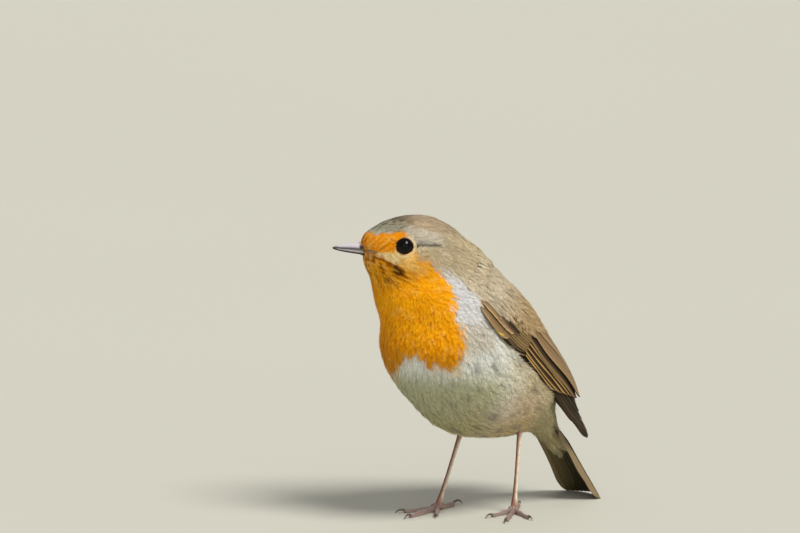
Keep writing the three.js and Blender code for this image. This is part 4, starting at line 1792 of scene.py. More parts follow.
class VaneLooks(Enum):
    """The looks of the wing's large feathers."""

    LOW_PRIMARY = VaneLook("primary_web", "primary_fringe", 0.24, 0.10, 2.4)
    PRIMARY = VaneLook("primary_web", "primary_fringe", 0.24, 0.15, 2.2)
    SECONDARY = VaneLook("wing_web", "wing_fringe", 0.46, 0.25, 1.0)
    STRIP = VaneLook("wing_web", "strip", 1.25, 0.30, 1.0)
    LOW_TERTIAL = VaneLook("tertial", "tertial_fringe", 0.50, 0.35, 1.2)
    TERTIAL = VaneLook("tertial", "tertial_fringe", 0.45, 0.35, 1.8)
    PRIMARY_COVERT = VaneLook("wing_web", "covert_fringe", 0.22, 0.25, 1.8)
    GREATER_COVERT = VaneLook("covert", "covert_fringe", 0.26, 0.25, 1.3)
    ALULA = VaneLook("wing_web", "covert_fringe", 0.14, 0.12, 1.6)
    LOW_ALULA = VaneLook("primary_web", "tan", 0.20, 0.10, 1.5)
    MARGIN = VaneLook("strip_web", "covert", 0.30, 0.20, 1.6)
    YELLOW_MARGIN = VaneLook("strip_web", "yellow", 0.80, 0.20, 1.6)
    MEDIAN_COVERT = VaneLook("strip_web", "tan", 0.22, 0.12, 1.6)
    MAUVE_COVERT = VaneLook("mauve", "tan", 0.22, 0.12, 1.6)


@dataclass(frozen=True)
class Vane:
    """One large feather: where its shaft runs over the blade, its webs' widths and its look."""

    root: Pair
    tip: Pair
    outer: float
    inner: float
    layer: float
    look: VaneLook
    bow: float = 0.0
    glow: float = 1.0
    hand: float = 1.0
    lift: float = 0.0
    sway: float = 0.0


@dataclass(frozen=True)
class VaneRow:
    """Large feathers of one look in a row, each a step on from the last.

    Their roots, tips and bows may be given one by one, and their glow takes turns.
    """

    look: VaneLooks
    outer: float
    inner: float
    layer: float
    layer_step: float = 0.0
    count: int = 1
    root: Pair = (0.0, 0.0)
    root_step: Pair = (0.0, 0.0)
    roots: Line = ()
    tip: Pair = (0.0, 0.0)
    tip_step: Pair = (0.0, 0.0)
    tips: Line = ()
    bow: float = 0.0
    bows: tuple[float, ...] = ()
    glow: float = 1.0
    glow_step: float = 0.0
    turns: int = 2
    lift: float = 0.0
    sway: float = 0.0
    sway_step: float = 0.0

    def vanes(self) -> list[Vane]:
        """The feathers of the row.

        Returns:
            The feathers, first to last.
        """
        return [
            Vane(
                self.roots[k] if self.roots else self.stepped(self.root, self.root_step, k),
                self.tips[k] if self.tips else self.stepped(self.tip, self.tip_step, k),
                self.outer, self.inner, self.layer + self.layer_step * k, self.look.value,
                bow=self.bows[k] if self.bows else self.bow,
                glow=self.glow + self.glow_step * (k % self.turns),
                lift=self.lift,
                sway=self.sway + self.sway_step * k,
            )
            for k in range(self.count)
        ]

    @staticmethod
    def stepped(place: Pair, step: Pair, times: int) -> Pair:
        """A place moved by some steps."""
        return place[0] + step[0] * times, place[1] + step[1] * times


class WingRows(Enum):
    """The large feathers of a wing, in the order in which they are drawn, each group lowest first."""

    PRIMARIES = (
        VaneRow(VaneLooks.LOW_PRIMARY, 0.8, 2.4, -0.86, 0.04, count=2, bow=0.3, glow=0.62,
                root=(-37.0, 3.7), root_step=(0.0, 0.9), tip=(9.5, -0.5), tip_step=(-1.5, 1.0)),
        VaneRow(VaneLooks.PRIMARY, 1.25, 3.2, -0.80, 0.08, count=6, glow=0.72,
                root=(-36.0, 11.0), root_step=(0.0, 0.1), sway=-2.2, sway_step=0.42,
                tips=((14.0, -0.4), (13.3, 0.3), (12.0, 1.3), (9.9, 2.7), (7.2, 4.3), (4.4, 5.8))),
    )
    SECONDARIES = (
        VaneRow(VaneLooks.SECONDARY, 1.25, 3.0, -0.30, 0.08, count=4, glow_step=-0.05,
                roots=((-39.0, 4.8), (-39.0, 5.6), (-39.0, 6.6), (-39.0, 8.4)),
                tips=((-11.0, 3.5), (-8.5, 4.3), (-6.0, 5.3), (-3.5, 6.3)), bows=(0.2, 0.0, 0.2, -0.3)),
        VaneRow(VaneLooks.STRIP, 2.1, 3.0, 0.12, root=(-39.0, 9.9), tip=(-0.8, 8.1), bow=-1.0, glow=0.9),
    )
    TERTIALS = (
        VaneRow(VaneLooks.LOW_TERTIAL, 2.4, 5.4, 0.34, root=(-40.0, 13.4), tip=(1.2, 9.6), bow=-1.2,
                lift=0.9),
        VaneRow(VaneLooks.TERTIAL, 2.8, 4.4, 0.40, root=(-42.0, 17.0), tip=(-8.0, 14.0), bow=0.2,
                lift=0.2, glow=1.04),
        VaneRow(VaneLooks.TERTIAL, 2.8, 3.6, 0.40, root=(-42.0, 20.2), tip=(-18.0, 17.8), bow=0.2,
                glow=1.08),
    )
    COVERTS = (
        VaneRow(VaneLooks.PRIMARY_COVERT, 0.8, 1.4, -0.05, 0.05, count=3, glow=0.8,
                root=(-48.0, 2.0), root_step=(0.0, 0.35), tip=(-35.0, 4.3), tip_step=(-1.4, 0.3)),
        VaneRow(VaneLooks.GREATER_COVERT, 0.8, 1.6, 0.12, 0.06, count=8, glow=0.86, glow_step=0.06,
                turns=3, root=(-48.0, 3.2), root_step=(0.0, 0.76), tip=(-34.2, 5.0),
                tip_step=(-0.25, 0.68)),
        VaneRow(VaneLooks.ALULA, 0.8, 1.1, 0.56, root=(-50.0, 5.0), tip=(-41.0, 6.3), lift=0.1),
        VaneRow(VaneLooks.LOW_ALULA, 0.4, 0.8, 0.22, root=(-50.0, -0.4), tip=(-33.5, 3.6), bow=-0.4),
        VaneRow(VaneLooks.MARGIN, 1.3, 1.8, 0.45, -0.02, count=2, glow=1.04, glow_step=-0.06,
                root=(-58.5, -1.2), root_step=(2.5, 0.25), tip=(-51.0, -0.2), tip_step=(2.3, 0.95)),
        VaneRow(VaneLooks.YELLOW_MARGIN, 1.3, 1.8, 0.41, root=(-53.5, -0.7), tip=(-46.4, 1.7), glow=1.04),
        VaneRow(VaneLooks.MARGIN, 1.3, 1.8, 0.39, root=(-51.0, -0.45), tip=(-44.1, 2.65), glow=0.98),
        VaneRow(VaneLooks.MEDIAN_COVERT, 0.9, 1.2, 0.60, -0.03, count=2, glow_step=-0.07,
                root=(-59.0, 1.0), root_step=(2.6, 0.6), tip=(-51.8, 2.7), tip_step=(2.15, 0.58)),
        VaneRow(VaneLooks.MAUVE_COVERT, 0.9, 1.2, 0.54, -0.03, count=3, glow_step=-0.07,
                root=(-53.8, 2.2), root_step=(2.6, 0.6), tip=(-47.5, 3.86), tip_step=(2.15, 0.58)),
    )


@dataclass(frozen=True)
class VaneForm:
    """How a large feather is meshed and shaped, whatever its size."""

    rows: int = 34
    tilt: float = 0.30
    thickness: float = 0.05
    shaft: float = 0.07
    # How dark the underside of each sheet is against its top: painted shade on the underside.
    under: float = 0.75
    floor: float = 0.06
    fold: float = 0.0
    fold_line: Line = ((22.0, 6.9), (28.0, 7.3), (34.0, 7.9), (45.0, 8.9), (52.0, 9.3))
    # Where a web has points, in shares of its width from the shaft out.
    web: tuple[float, ...] = (0.035, 0.12, 0.25, 0.42, 0.6, 0.74, 0.84, 0.92, 0.97, 1.0)
    # How far the feather's root lies sunk, in mm, and over what share of its length.
    root_sink: float = 0.35
    root_share: float = 0.22
    # How strongly a web's edge waves.
    waver: float = 0.05

    def lines(self) -> tuple[Array, Array]:
        """The places along and across at which the feather has points.

        Returns:
            The shares along the feather, and the shares across it from -1 to 1.
        """
        step = np.linspace(0.0, 1.0, self.rows)
        along = 1.0 - (1.0 - step) ** 1.7
        web = np.array(self.web)
        return along, np.concatenate([-web[::-1], [0.0], web])

    def lay(self, blade: Blade, vane: Vane, rng: Rng) -> tuple[Array, Array, Array]:
        """Lays a feather on a blade.

        Args:
            blade: the face that it lies on.
            vane: the feather.
            rng: the source of its small differences.
        Returns:
            Its points, their colours, and their places in mm on the flat feather.
        """
        along, across = self.lines()
        a, b = np.meshgrid(along, across, indexing="ij")
        root, tip = np.array(vane.root), np.array(vane.tip)
        run = tip - root
        length = float(np.hypot(*run))
        side = np.array([-run[1], run[0]]) / length
        reach = np.where(b < 0, vane.outer, vane.inner)
        blunt = vane.look.point * max(vane.outer, vane.inner) / length
        head = np.clip((a - (1 - blunt)) / blunt, 0, 1)
        taper = np.sqrt(np.clip(1 - head**2, 0, 1)) * (0.45 + 0.55 * smoothstep(0.0, 0.35, a))
        wave = self.waver * np.sin(a * rng.uniform(9, 15) + rng.uniform(0, 6)) * np.abs(b) ** 3
        off = b * reach * (taper + wave * taper)
        s = root[0] + run[0] * a + side[0] * off * vane.hand
        m = root[1] + run[1] * a + side[1] * off * vane.hand + vane.bow * 4 * a * (1 - a)
        m = m + vane.sway * 6.75 * a**2 * (1 - a)
        place, up = blade.at(s, m)
        rise = vane.layer - self.tilt * b * 0.5 + self.shaft * np.exp(-((off / 0.16) ** 2)) * (1 - a)
        rise = rise - self.root_sink * smoothstep(self.root_share, 0.0, a) + vane.lift * a**2
        fold = self.fold * np.where(m > 0.0, 1.0, 0.4)
        rise = rise - fold * np.maximum(np.abs(m) - on_line(self.fold_line, s), 0.0)
        points = place + up * rise[..., None]
        flat = np.stack([off, a * length], axis=-1)
        return points, self.shade(vane, a, b, off, reach * taper, length, rng), flat

    @staticmethod
    def shade(
        vane: Vane, a: Array, b: Array, off: Array, reach: Array, length: float, rng: Rng
    ) -> Array:
        """The colours over one feather: dark webs, the inner one with painted shade, a pale outer fringe
        and a dark shaft.

        Args:
            vane: the feather.
            a: how far along the feather each point is.
            b: how far across, from -1 to 1.
            off: the same in mm.
            reach: how wide the web is there, in mm.
            length: the length of the feather in mm.
            rng: the source of small differences.
        Returns:
            One colour for each point.
        """
        look = vane.look
        web, fringe = PALETTE[look.web], PALETTE[look.fringe]
        tone = np.broadcast_to(web, (*a.shape, 3)) * rng.uniform(0.9, 1.1)
        # The outer web a little lighter, and the inner web darker: painted shade where the next feather
        # lies over it.
        tone = tone * (1.0 + 0.18 * smoothstep(0.2, -0.9, b) - 0.45 * smoothstep(0.0, 0.7, b))[..., None]
        edge = np.where(b < 0, reach - np.abs(off), np.inf)
        share = smoothstep(look.fringe_width, look.fringe_width * 0.35, edge) * smoothstep(1.02, 0.9, a)
        tone = mix(tone, fringe * rng.uniform(0.92, 1.08), 0.92 * share)
        end = (1.0 - a) * length + 0.2 * np.abs(off)
        tone = mix(tone, fringe, 0.55 * smoothstep(look.tip_fringe * 2, look.tip_fringe * 0.5, end))
        tone = mix(tone, web * 0.45, 0.8 * np.exp(-((off / 0.10) ** 2)))
        return tone * vane.glow


@dataclass(frozen=True)
class VaneFinish:
    """Large feathers: each one's own colours, crossed by fine slanting barbs with a silky gloss."""

    name: str
    roughness: float = 0.55
    specular: float = 0.16
    sheen: float = 0.02
    barb: float = 0.30
    depth: float = 0.12
    relief: float = 0.25
    slant: float = 1.5
    mottle: float = 700.0

    def material(self) -> bpy.types.Material:
        """Makes the material.

        Returns:
            The finished material.
        """
        recipe = Recipe(self.name)
        flat = recipe.add("UVMap", {}, uv_map=VANE_MAP)["UV"]
        place = recipe.add("SeparateXYZ", {"Vector": flat})
        reach = recipe.math("ABSOLUTE", recipe.math("SUBTRACT", place["X"], 0.5))
        slant = recipe.math("MULTIPLY_ADD", reach, -self.slant, place["Y"])
        turns = recipe.math("MULTIPLY", slant, 2.0 * math.pi * VANE_SPAN / self.barb)
        wave = recipe.math("SINE", turns)
        recipe.tint(recipe.math("MULTIPLY_ADD", wave, 0.4, recipe.noise(self.mottle)), self.depth)
        recipe.emboss(wave, self.relief, 0.05)
        recipe.feed(recipe.shader, {
            "Roughness": self.roughness,
            "Specular IOR Level": self.specular,
            "Sheen Weight": self.sheen,
        })
        return recipe.material


def draw_vanes(name: str, blade: Blade, vanes: list[Vane], form: VaneForm, seed: int) -> Piece:
    """Makes one piece of several large feathers.

    Args:
        name: the piece's name.
        blade: the face that they lie on.
        vanes: the feathers.
        form: how each is meshed.
        seed: picks their small differences.
    Returns:
        The piece, each feather a thin closed sheet.
    """
    rng = np.random.default_rng(seed)
    sheets = [form.lay(blade, vane, rng) for vane in vanes]
    rows, columns = sheets[0][0].shape[:2]
    middle = sheets[0][0][rows // 2, columns // 2]
    along = sheets[0][0][rows // 2 + 1, columns // 2] - middle
    across = sheets[0][0][rows // 2, columns // 2 + 1] - middle
    quads = grid_faces(rows, columns, np.cross(along, across) @ blade.outward < 0)
    faces = np.concatenate([quads + k * rows * columns for k in range(len(sheets))])
    points = np.concatenate([sheet[0].reshape(-1, 3) for sheet in sheets])
    points[:, 2] = np.maximum(points[:, 2], form.floor)
    piece = mesh_piece(name, points, faces)
    paint(piece, np.concatenate([sheet[1].reshape(-1, 3) for sheet in sheets]))
    flat = np.concatenate([sheet[2].reshape(-1, 2) for sheet in sheets])
    add_map(piece, VANE_MAP, np.stack([flat[:, 0] / VANE_SPAN + 0.5, flat[:, 1] / VANE_SPAN], axis=1))
    size = math.ceil(math.sqrt(len(sheets)))
    own = []
    for k, sheet in enumerate(sheets):
        local = sheet[2].reshape(-1, 2)
        local = (local - local.min(0)) / (np.ptp(local, axis=0) + 1e-6) * 0.9 + 0.05
        own.append((local + np.array([k % size, k // size])) / size)
    add_map(piece, COAT_MAP, np.concatenate(own))
    apply(piece, "SOLIDIFY", thickness=form.thickness * MM, offset=-1.0, use_rim=True)
    layer = piece.data.color_attributes[TONE]
    tones = np.zeros(len(layer.data) * 4, np.float32)
    layer.data.foreach_get("color", tones)
    tones = tones.reshape(-1, 4)
    # The underside of each sheet darkened: painted shade.
    tones[len(points):, :3] *= form.under
    layer.data.foreach_set("color", tones.ravel())
    bpy.ops.object.shade_smooth()
    return piece


# ------------------------------------------------------------------ wings
@dataclass
class Wing:
    """One folded wing: a dark bed, flight feathers, coverts and the small feathers over them."""

    anatomy: Anatomy
    side: str
    form: VaneForm = VaneForm()
    # The wing's lower edge as the flank leaves it bare: mm along, mm across.
    low_edge: Line = (
        (-62.0, -0.4), (-57.6, 0.1), (-51.5, 0.1), (-48.2, 1.1), (-43.8, 2.1), (-34.2, 3.3),
        (-28.9, 2.6), (-19.9, 2.4), (-13.6, 2.0), (-9.9, 1.2), (-4.9, 0.0), (1.1, -1.2), (7.8, -1.0),
        (12.4, -0.4),
    )
    # How far the wing's lower part is drawn in towards the body: mm along, mm deep.
    tuck: Line = (
        (-62.0, 0.2), (-54.0, 1.1), (-46.0, 1.4), (-34.0, 1.6), (-30.0, 1.8), (-26.0, 2.4),
        (-22.0, 3.2), (-18.0, 3.7), (-14.0, 3.6), (-10.0, 3.0), (-6.0, 2.1), (-2.0, 1.2), (3.0, 0.2),
        (6.0, 0.0),
    )
    # The strip that is drawn in, from none of it to all, in mm across.
    tuck_strip: Pair = (9.0, 1.0)
    # The lower border of the shoulder feathers: mm along, mm across.
    shoulder: Line = (
        (-66.0, -1.0), (-57.4, 1.0), (-47.5, 6.1), (-42.3, 7.8), (-36.9, 9.7), (-33.3, 12.9),
        (-28.7, 16.2), (-25.0, 20.0), (-22.0, 30.0),
    )
    # How much of the wing's width the dark bed fills: mm along, share.
    bed_top: Line = (
        (-59.0, 0.55), (-46.0, 0.72), (-34.0, 0.9), (-20.0, 0.95), (0.0, 0.8), (12.0, 0.5),
    )
    # The length and the spacing of the small feathers: mm along, mm.
    small_length: Line = ((-64.0, 3.4), (-50.0, 4.8), (-30.0, 6.2))
    small_spacing: Line = ((-64.0, 0.72), (-50.0, 0.88), (-30.0, 1.02))
    small_tries: int = 16000
    # How much the wing's face leans in towards the back, against how much it stands up.
    slope: Pair = (0.6, 0.8)
    # The dark bed: its ends along the wing, its points along and across, how deep it lies in mm.
    bed_ends: Pair = (-59.0, 11.5)
    bed_points: tuple[int, int] = (80, 24)
    bed_depth: float = 1.05
    bed_tone: Shade = (52, 42, 30)
    # How near the wing's face a place on the body is to count as under it, in mm.
    reach: float = 9.0
    # Where the flank laps over the wing's border, from none to all of it: mm along, mm across.
    lap_front: Pair = (-64.0, -60.0)
    lap_back: Pair = (-8.0, -14.0)
    lap_low: Pair = (-4.4, 0.2)
    lap_top: Pair = (2.5, -0.3)
    # How far over the wing's face the flank lies, and the most that it climbs to do so, in mm.
    lap_rise: float = 0.35
    lap_limit: float = 6.0
    # The stretch of the wing that hides the coat under it, and the strip left along its top.
    cover: Pair = (-59.5, 8.0)
    cover_top: float = 2.4
    # Where the small feathers have their roots, in mm along, and how much the tones waver.
    small_ends: Pair = (-64.0, -22.0)
    small_waver: float = 0.08
    blade: Blade = field(init=False)

    def __post_init__(self) -> None:
        """Charts the wing's outer face: s along it to its tip, m up from its lower edge."""
        hand = 1.0 if self.side == "left" else -1.0
        self.hand = hand
        lean, stand = self.slope
        axis = unit(np.array(WING_WAY))
        rise = unit(np.array([0.0, -WING_WAY[2], WING_WAY[1]]))
        spread = unit(np.array([-lean * hand, 0.0, 0.0]) + stand * rise)
        outward = np.array([hand * stand, 0.0, 0.0]) + lean * rise
        self.blade = Blade(f"wing_{self.side}", self.anatomy.shift, axis, spread, outward)
        blade = self.blade
        across = (blade.share * blade.width[:, None])[..., None]
        deep = on_line(self.tuck, blade.along)[:, None, None]
        blade.grid = blade.grid - blade.normal * deep * smoothstep(*self.tuck_strip, across)

    def low_at(self, s: Array) -> Array:
        """How far up the blade the wing's visible lower edge is, above which no flank lies."""
        return on_line(self.low_edge, s)

    def lap(self, points: Array) -> Array:
        """How far the coat's outer surface must climb at each point to lap over the wing's border.

        Args:
            points: places on the body's outer surface.
        Returns:
            A height in millimetres for each, 0 away from the wing.
        """
        s, m = self.blade.locate(points)
        place, up = self.blade.at(s, m)
        over = ((place - points) * up).sum(axis=1) + self.lap_rise
        over = over - 1.2 * smoothstep(-43.0, -47.0, s) * smoothstep(-59.0, -57.0, s)
        low, top = self.low_at(s), self.blade.width_at(s)
        ramp = smoothstep(*self.lap_low, m - low) * smoothstep(*self.lap_top, m - top)
        ramp = ramp * smoothstep(*self.lap_front, s) * smoothstep(*self.lap_back, s)
        near = ((points - self.anatomy.shift)[:, 0] * self.hand > 0.0) & (np.abs(over) < self.reach)
        return np.where(near, np.clip(over, 0.0, self.lap_limit) * ramp, 0.0)

    def hides(self, roots: Array) -> Array:
        """Whether the wing covers each of the coat's roots.

        Args:
            roots: the roots of the feathers, one a row.
        Returns:
            True for each root that lies under the wing.
        """
        s, m = self.blade.locate(roots)
        place, up = self.blade.at(s, m)
        near = (roots - self.anatomy.shift)[:, 0] * self.hand > 0.0
        near &= np.abs(((place - roots) * up).sum(axis=1)) < self.reach
        margin = 1.0 - 1.95 * smoothstep(*self.lap_back, s)
        inside = (s > self.cover[0]) & (s < self.cover[1]) & (m > self.low_at(s) + margin)
        return near & inside & (m < self.blade.width_at(s) - self.cover_top)

    def build(self, lie_seed: int) -> None:
        """Makes the pieces of the wing.

        Args:
            lie_seed: picks the small differences between feathers.
        """
        look = VaneFinish("flight_feather").material()
        self.bed()
        for number, rows in enumerate(WingRows):
            vanes = [vane for row in rows.value for vane in row.vanes()]
            title = f"wing_{self.side}_{rows.name.lower()}"
            piece = draw_vanes(title, self.blade, vanes, self.form, lie_seed + number)
            finish(piece, title, "wing", look)
        self.small_feathers(np.random.default_rng(lie_seed + 9))

    def bed(self) -> Piece:
        """The dark sheet under the wing's feathers, which fills the gaps between them.

        Returns:
            The piece, which replaces the frame's wing.
        """
        blade = self.blade
        rows, columns = self.bed_points
        s, share = np.meshgrid(
            np.linspace(*self.bed_ends, rows), np.linspace(0.0, 1.0, columns), indexing="ij"
        )
        low = self.low_at(s) + 0.5
        top = blade.width_at(s) * on_line(self.bed_top, s)
        place, up = blade.at(s, low + (np.maximum(top, low + 0.2) - low) * share)
        points = (place - up * self.bed_depth).reshape(-1, 3)
        piece = mesh_piece(f"wing_{self.side}_bed", points, grid_faces(rows, columns, self.hand > 0))
        upper = smoothstep(0.55, 0.75, share.ravel()) * smoothstep(-26.0, -22.0, s.ravel())
        paint(piece, mix(even(self.bed_tone, s.size), PALETTE["tertial"] * 0.8, upper))
        apply(piece, "SOLIDIFY", thickness=0.5 * MM, offset=-1.0, use_rim=True)
        bpy.ops.object.shade_smooth()
        look = FeatherFinish("under_feather").material()
        return finish(piece, piece.name, "wing", look, f"wing_{self.side}")

    def small_feathers(self, rng: Rng) -> None:
        """The shoulder's soft feathers, which lie over the upper part of the wing.

        Args:
            rng: the source of their small differences.
        """
        blade = self.blade
        s = rng.uniform(*self.small_ends, self.small_tries)
        m = rng.uniform(-1.6, blade.width.max() + 1.5, self.small_tries)
        length = on_line(self.small_length, s)
        border = np.interp(m, *np.array(self.shoulder).T[::-1])
        keep = (s + 0.85 * length < border) & (m < blade.width_at(s) * 1.03)
        s, m, length = s[keep], m[keep], length[keep]
        spot, _ = blade.at(s, m)
        picked = spread_out(spot, on_line(self.small_spacing, s))
        s, m, length, spot = s[picked], m[picked], length[picked], spot[picked]
        length = length * rng.uniform(0.85, 1.15, len(s))
        over = 0.62 - 0.45 * smoothstep(0.80, 0.98, m / blade.width_at(s))
        over = over * (1.0 - 0.7 * smoothstep(-53.0, -60.0, s))
        tone = mix(PALETTE["mantle"], PALETTE["scapular"], smoothstep(-56.0, -38.0, s + 0.7 * length))
        tone = tone * (1.0 + self.small_waver * ripple(spot, 1.8, 31, (1.0, 0.5, 0.5))[:, None])
        quills = self.quills(s, m, length, 0.44 * length, over, tone, rng, 0.12)
        piece = Barbs(14, 0.12).mesh(f"wing_{self.side}_small_feathers", quills, rng)
        finish(piece, piece.name, "wing", FeatherFinish("wing_plumage").material())

    def quills(
        self,
        s: Array,
        m: Array,
        length: Array,
        width: Array,
        over: Array,
        tone: Array,
        rng: Rng,
        stray: float,
    ) -> Quills:
        """Small feathers laid along the wing.

        Args:
            s: where each root is along the blade.
            m: where it is across.
            length: how long each feather is.
            width: how wide it is.
            over: how far above the blade it lies.
            tone: its colour.
            rng: the source of small differences.
            stray: how far the feathers turn from the wing's line.
        Returns:
            The feathers.
        """
        count = len(s)
        turn = rng.normal(0.0, stray, count)
        runs, ups = [], []
        for step in RUN_STEPS:
            place, up = self.blade.at(s + length * step, m + length * step * turn)
            runs.append(place + up * over[:, None])
            ups.append(up)
        tone = tone * (1.0 + 0.06 * rng.normal(size=(count, 1)))
        chart = np.stack([(s + 66.0) / 60.0, (m + 5.0) / 40.0], axis=1)
        return Quills(
            np.stack(runs, axis=1), np.stack(ups, axis=1), length, width, np.full(count, 0.75),
            np.abs(rng.normal(0.012, 0.012, count)), tone, np.clip(chart, 0.02, 0.98),
        )


# ------------------------------------------------------------------ tail
@dataclass
class Tail:
    """Twelve tail feathers, laid over one another like a low roof."""

    anatomy: Anatomy
    root: Triple = (0.0, 18.2, 46.6)
    form: VaneForm = VaneForm(rows=30, tilt=0.16, thickness=0.07, shaft=0.12, under=0.62, fold=2.4)
    pairs: int = 6

    def build(self) -> None:
        """Makes both halves of the tail."""
        axis = unit(np.array(TAIL_WAY))
        up = unit(np.array([0.0, -TAIL_WAY[2], TAIL_WAY[1]]))
        side = np.array([1.0, 0.0, 0.0])
        blade = Blade("tail", self.anatomy.place(*self.root), axis, side, up, centred=True)
        stop = blade.stop
        halves = {"left": 1.0, "right": -1.0}
        look = VaneFinish("tail_feather").material()
        for name, hand in halves.items():
            vanes = []
            for k in reversed(range(self.pairs)):
                share = k / (self.pairs - 1)
                tip = 1.4 + 7.4 * share
                vanes.append(self.vane(hand, share, tip, stop, blade.start - 8.0))
            piece = draw_vanes(f"tail_{name}", blade, vanes, self.form, 40 + int(hand))
            finish(piece, piece.name, "tail", look, *(["tail"] if hand > 0 else []))

    @staticmethod
    def vane(hand: float, share: float, tip: float, stop: float, start: float) -> Vane:
        """One tail feather, from the middle pair to the outermost.

        Args:
            hand: 1 for the left half, -1 for the right.
            share: 0 for the middle pair, 1 for the outermost.
            tip: how far to its side the feather ends.
            stop: where along the tail it ends.
            start: where along the tail it starts.
        Returns:
            The feather.
        """
        outer, inner = (3.6, 4.2) if share == 0 else (1.7, 4.8)
        edge = smoothstep(0.7, 1.0, share)
        look = VaneLook("tail_web", "tail_fringe", 0.4 + 0.8 * edge, tip_fringe=0.3, point=1.6)
        return Vane(
            (start, hand * (0.5 + 4.6 * share)), (stop - 0.9 * share**2, hand * tip),
            outer, inner, -0.08 - 0.75 * share, look, hand=-hand,
            glow=0.85 + (0.15 if hand > 0 else 0.9) * edge,
        )


# ------------------------------------------------------------------ swept forms
def swept(name: str, rings: Array) -> Piece:
    """Models a limb from one ring that is extruded from place to place.

    Args:
        name: the piece's name.
        rings: the points of each ring in millimetres, ring by ring, in the same order round.
    Returns:
        The closed limb, with smooth shading.
    """
    bpy.ops.object.select_all(action="DESELECT")
    bpy.ops.mesh.primitive_circle_add(vertices=rings.shape[1], radius=MM, fill_type="NOTHING")
    piece = bpy.context.object
    piece.name = piece.data.name = name
    bpy.ops.object.mode_set(mode="EDIT")
    mesh = bmesh.from_edit_mesh(piece.data)
    row = list(mesh.verts)
    for vertex, place in zip(row, rings[0]):
        vertex.co = place * MM
    bpy.ops.mesh.edge_face_add()
    bpy.ops.mesh.select_all(action="SELECT")
    bpy.ops.mesh.select_mode(type="EDGE")
    for ring in rings[1:]:
        mesh = bmesh.from_edit_mesh(piece.data)
        mesh.verts.ensure_lookup_table()
        order = {vertex.index: k for k, vertex in enumerate(row)}
        bpy.ops.mesh.extrude_edges_move(TRANSFORM_OT_translate={"value": (0.0, 0.0, MM)})
        mesh = bmesh.from_edit_mesh(piece.data)
        mesh.verts.ensure_lookup_table()
        mesh.verts.index_update()
        fresh = [None] * len(row)
        for vertex in mesh.verts:
            if vertex.select:
                for edge in vertex.link_edges:
                    before = order.get(edge.other_vert(vertex).index)
                    if before is not None and not edge.other_vert(vertex).select:
                        fresh[before] = vertex
        row = fresh
        for vertex, place in zip(row, ring):
            vertex.co = place * MM
        bmesh.update_edit_mesh(piece.data)
    bpy.ops.mesh.edge_face_add()
    bpy.ops.mesh.select_all(action="SELECT")
    bpy.ops.mesh.normals_make_consistent(inside=False)
    bpy.ops.object.mode_set(mode="OBJECT")
    bpy.ops.object.shade_smooth()
    return piece


def tube(path: Array, wide: Array, deep: Array, across: Triple, sides: int) -> Array:
    """Oval rings along a path.

    Args:
        path: the middle of each ring.
        wide: half of each ring's width.
        deep: half of each ring's depth.
        across: the direction in which the width is measured.
        sides: the points in a ring.
    Returns:
        The rings, for swept().
    """
    forward = unit(np.gradient(path, axis=0))
    left = unit(np.array(across) - forward * (forward @ np.array(across))[:, None])
    up = np.cross(forward, left)
    angle = np.linspace(0.0, 2.0 * math.pi, sides, endpoint=False)
    ring = np.cos(angle)[None, :, None] * left[:, None] * wide[:, None, None]
    return path[:, None] + ring + np.sin(angle)[None, :, None] * up[:, None] * deep[:, None, None]


def curve_through(knots: list[Triple], count: int) -> Array:
    """A smooth path through knots, at even steps of the knots' own measure.

    Args:
        knots: the places that the path runs through.
        count: how many places it is given.
    Returns:
        The path, one place a row.
    """
    spots = np.array(knots, float)
    padded = np.concatenate([[2 * spots[0] - spots[1]], spots, [2 * spots[-1] - spots[-2]]])
    step = np.linspace(0.0, len(spots) - 1.0, count)
    cell = np.minimum(step.astype(int), len(spots) - 2)
    t = (step - cell)[:, None]
    p0, p1, p2, p3 = (padded[cell + k] for k in range(4))
    return 0.5 * (
        2 * p1 + (p2 - p0) * t + (2 * p0 - 5 * p1 + 4 * p2 - p3) * t**2
        + (3 * p1 - p0 - 3 * p2 + p3) * t**3
    )


@dataclass(frozen=True)
class HardFinish:
    """Horn, scale or claw: its own colours with fine mottling, a slight relief and a low gloss."""

    name: str
    roughness: float = 0.4
    coat: float = 0.0
    grain: float = 900.0
    mottle: float = 0.12
    relief: float = 0.2
    specular: float = 0.5
    subsurface: float = 0.0

    def material(self) -> bpy.types.Material:
        """Makes the material.

        Returns:
            The finished material.
        """
        recipe = Recipe(self.name)
        grain = recipe.noise(self.grain, detail=3.0)
        recipe.tint(grain, self.mottle)
        recipe.emboss(grain, self.relief, 0.1)
        recipe.feed(recipe.shader, {
            "Roughness": self.roughness,
            "Coat Weight": self.coat,
            "Coat Roughness": 0.04,
            "Specular IOR Level": self.specular,
            "Subsurface Weight": self.subsurface,
            "Subsurface Scale": 0.6 * MM,
        })
        return recipe.material


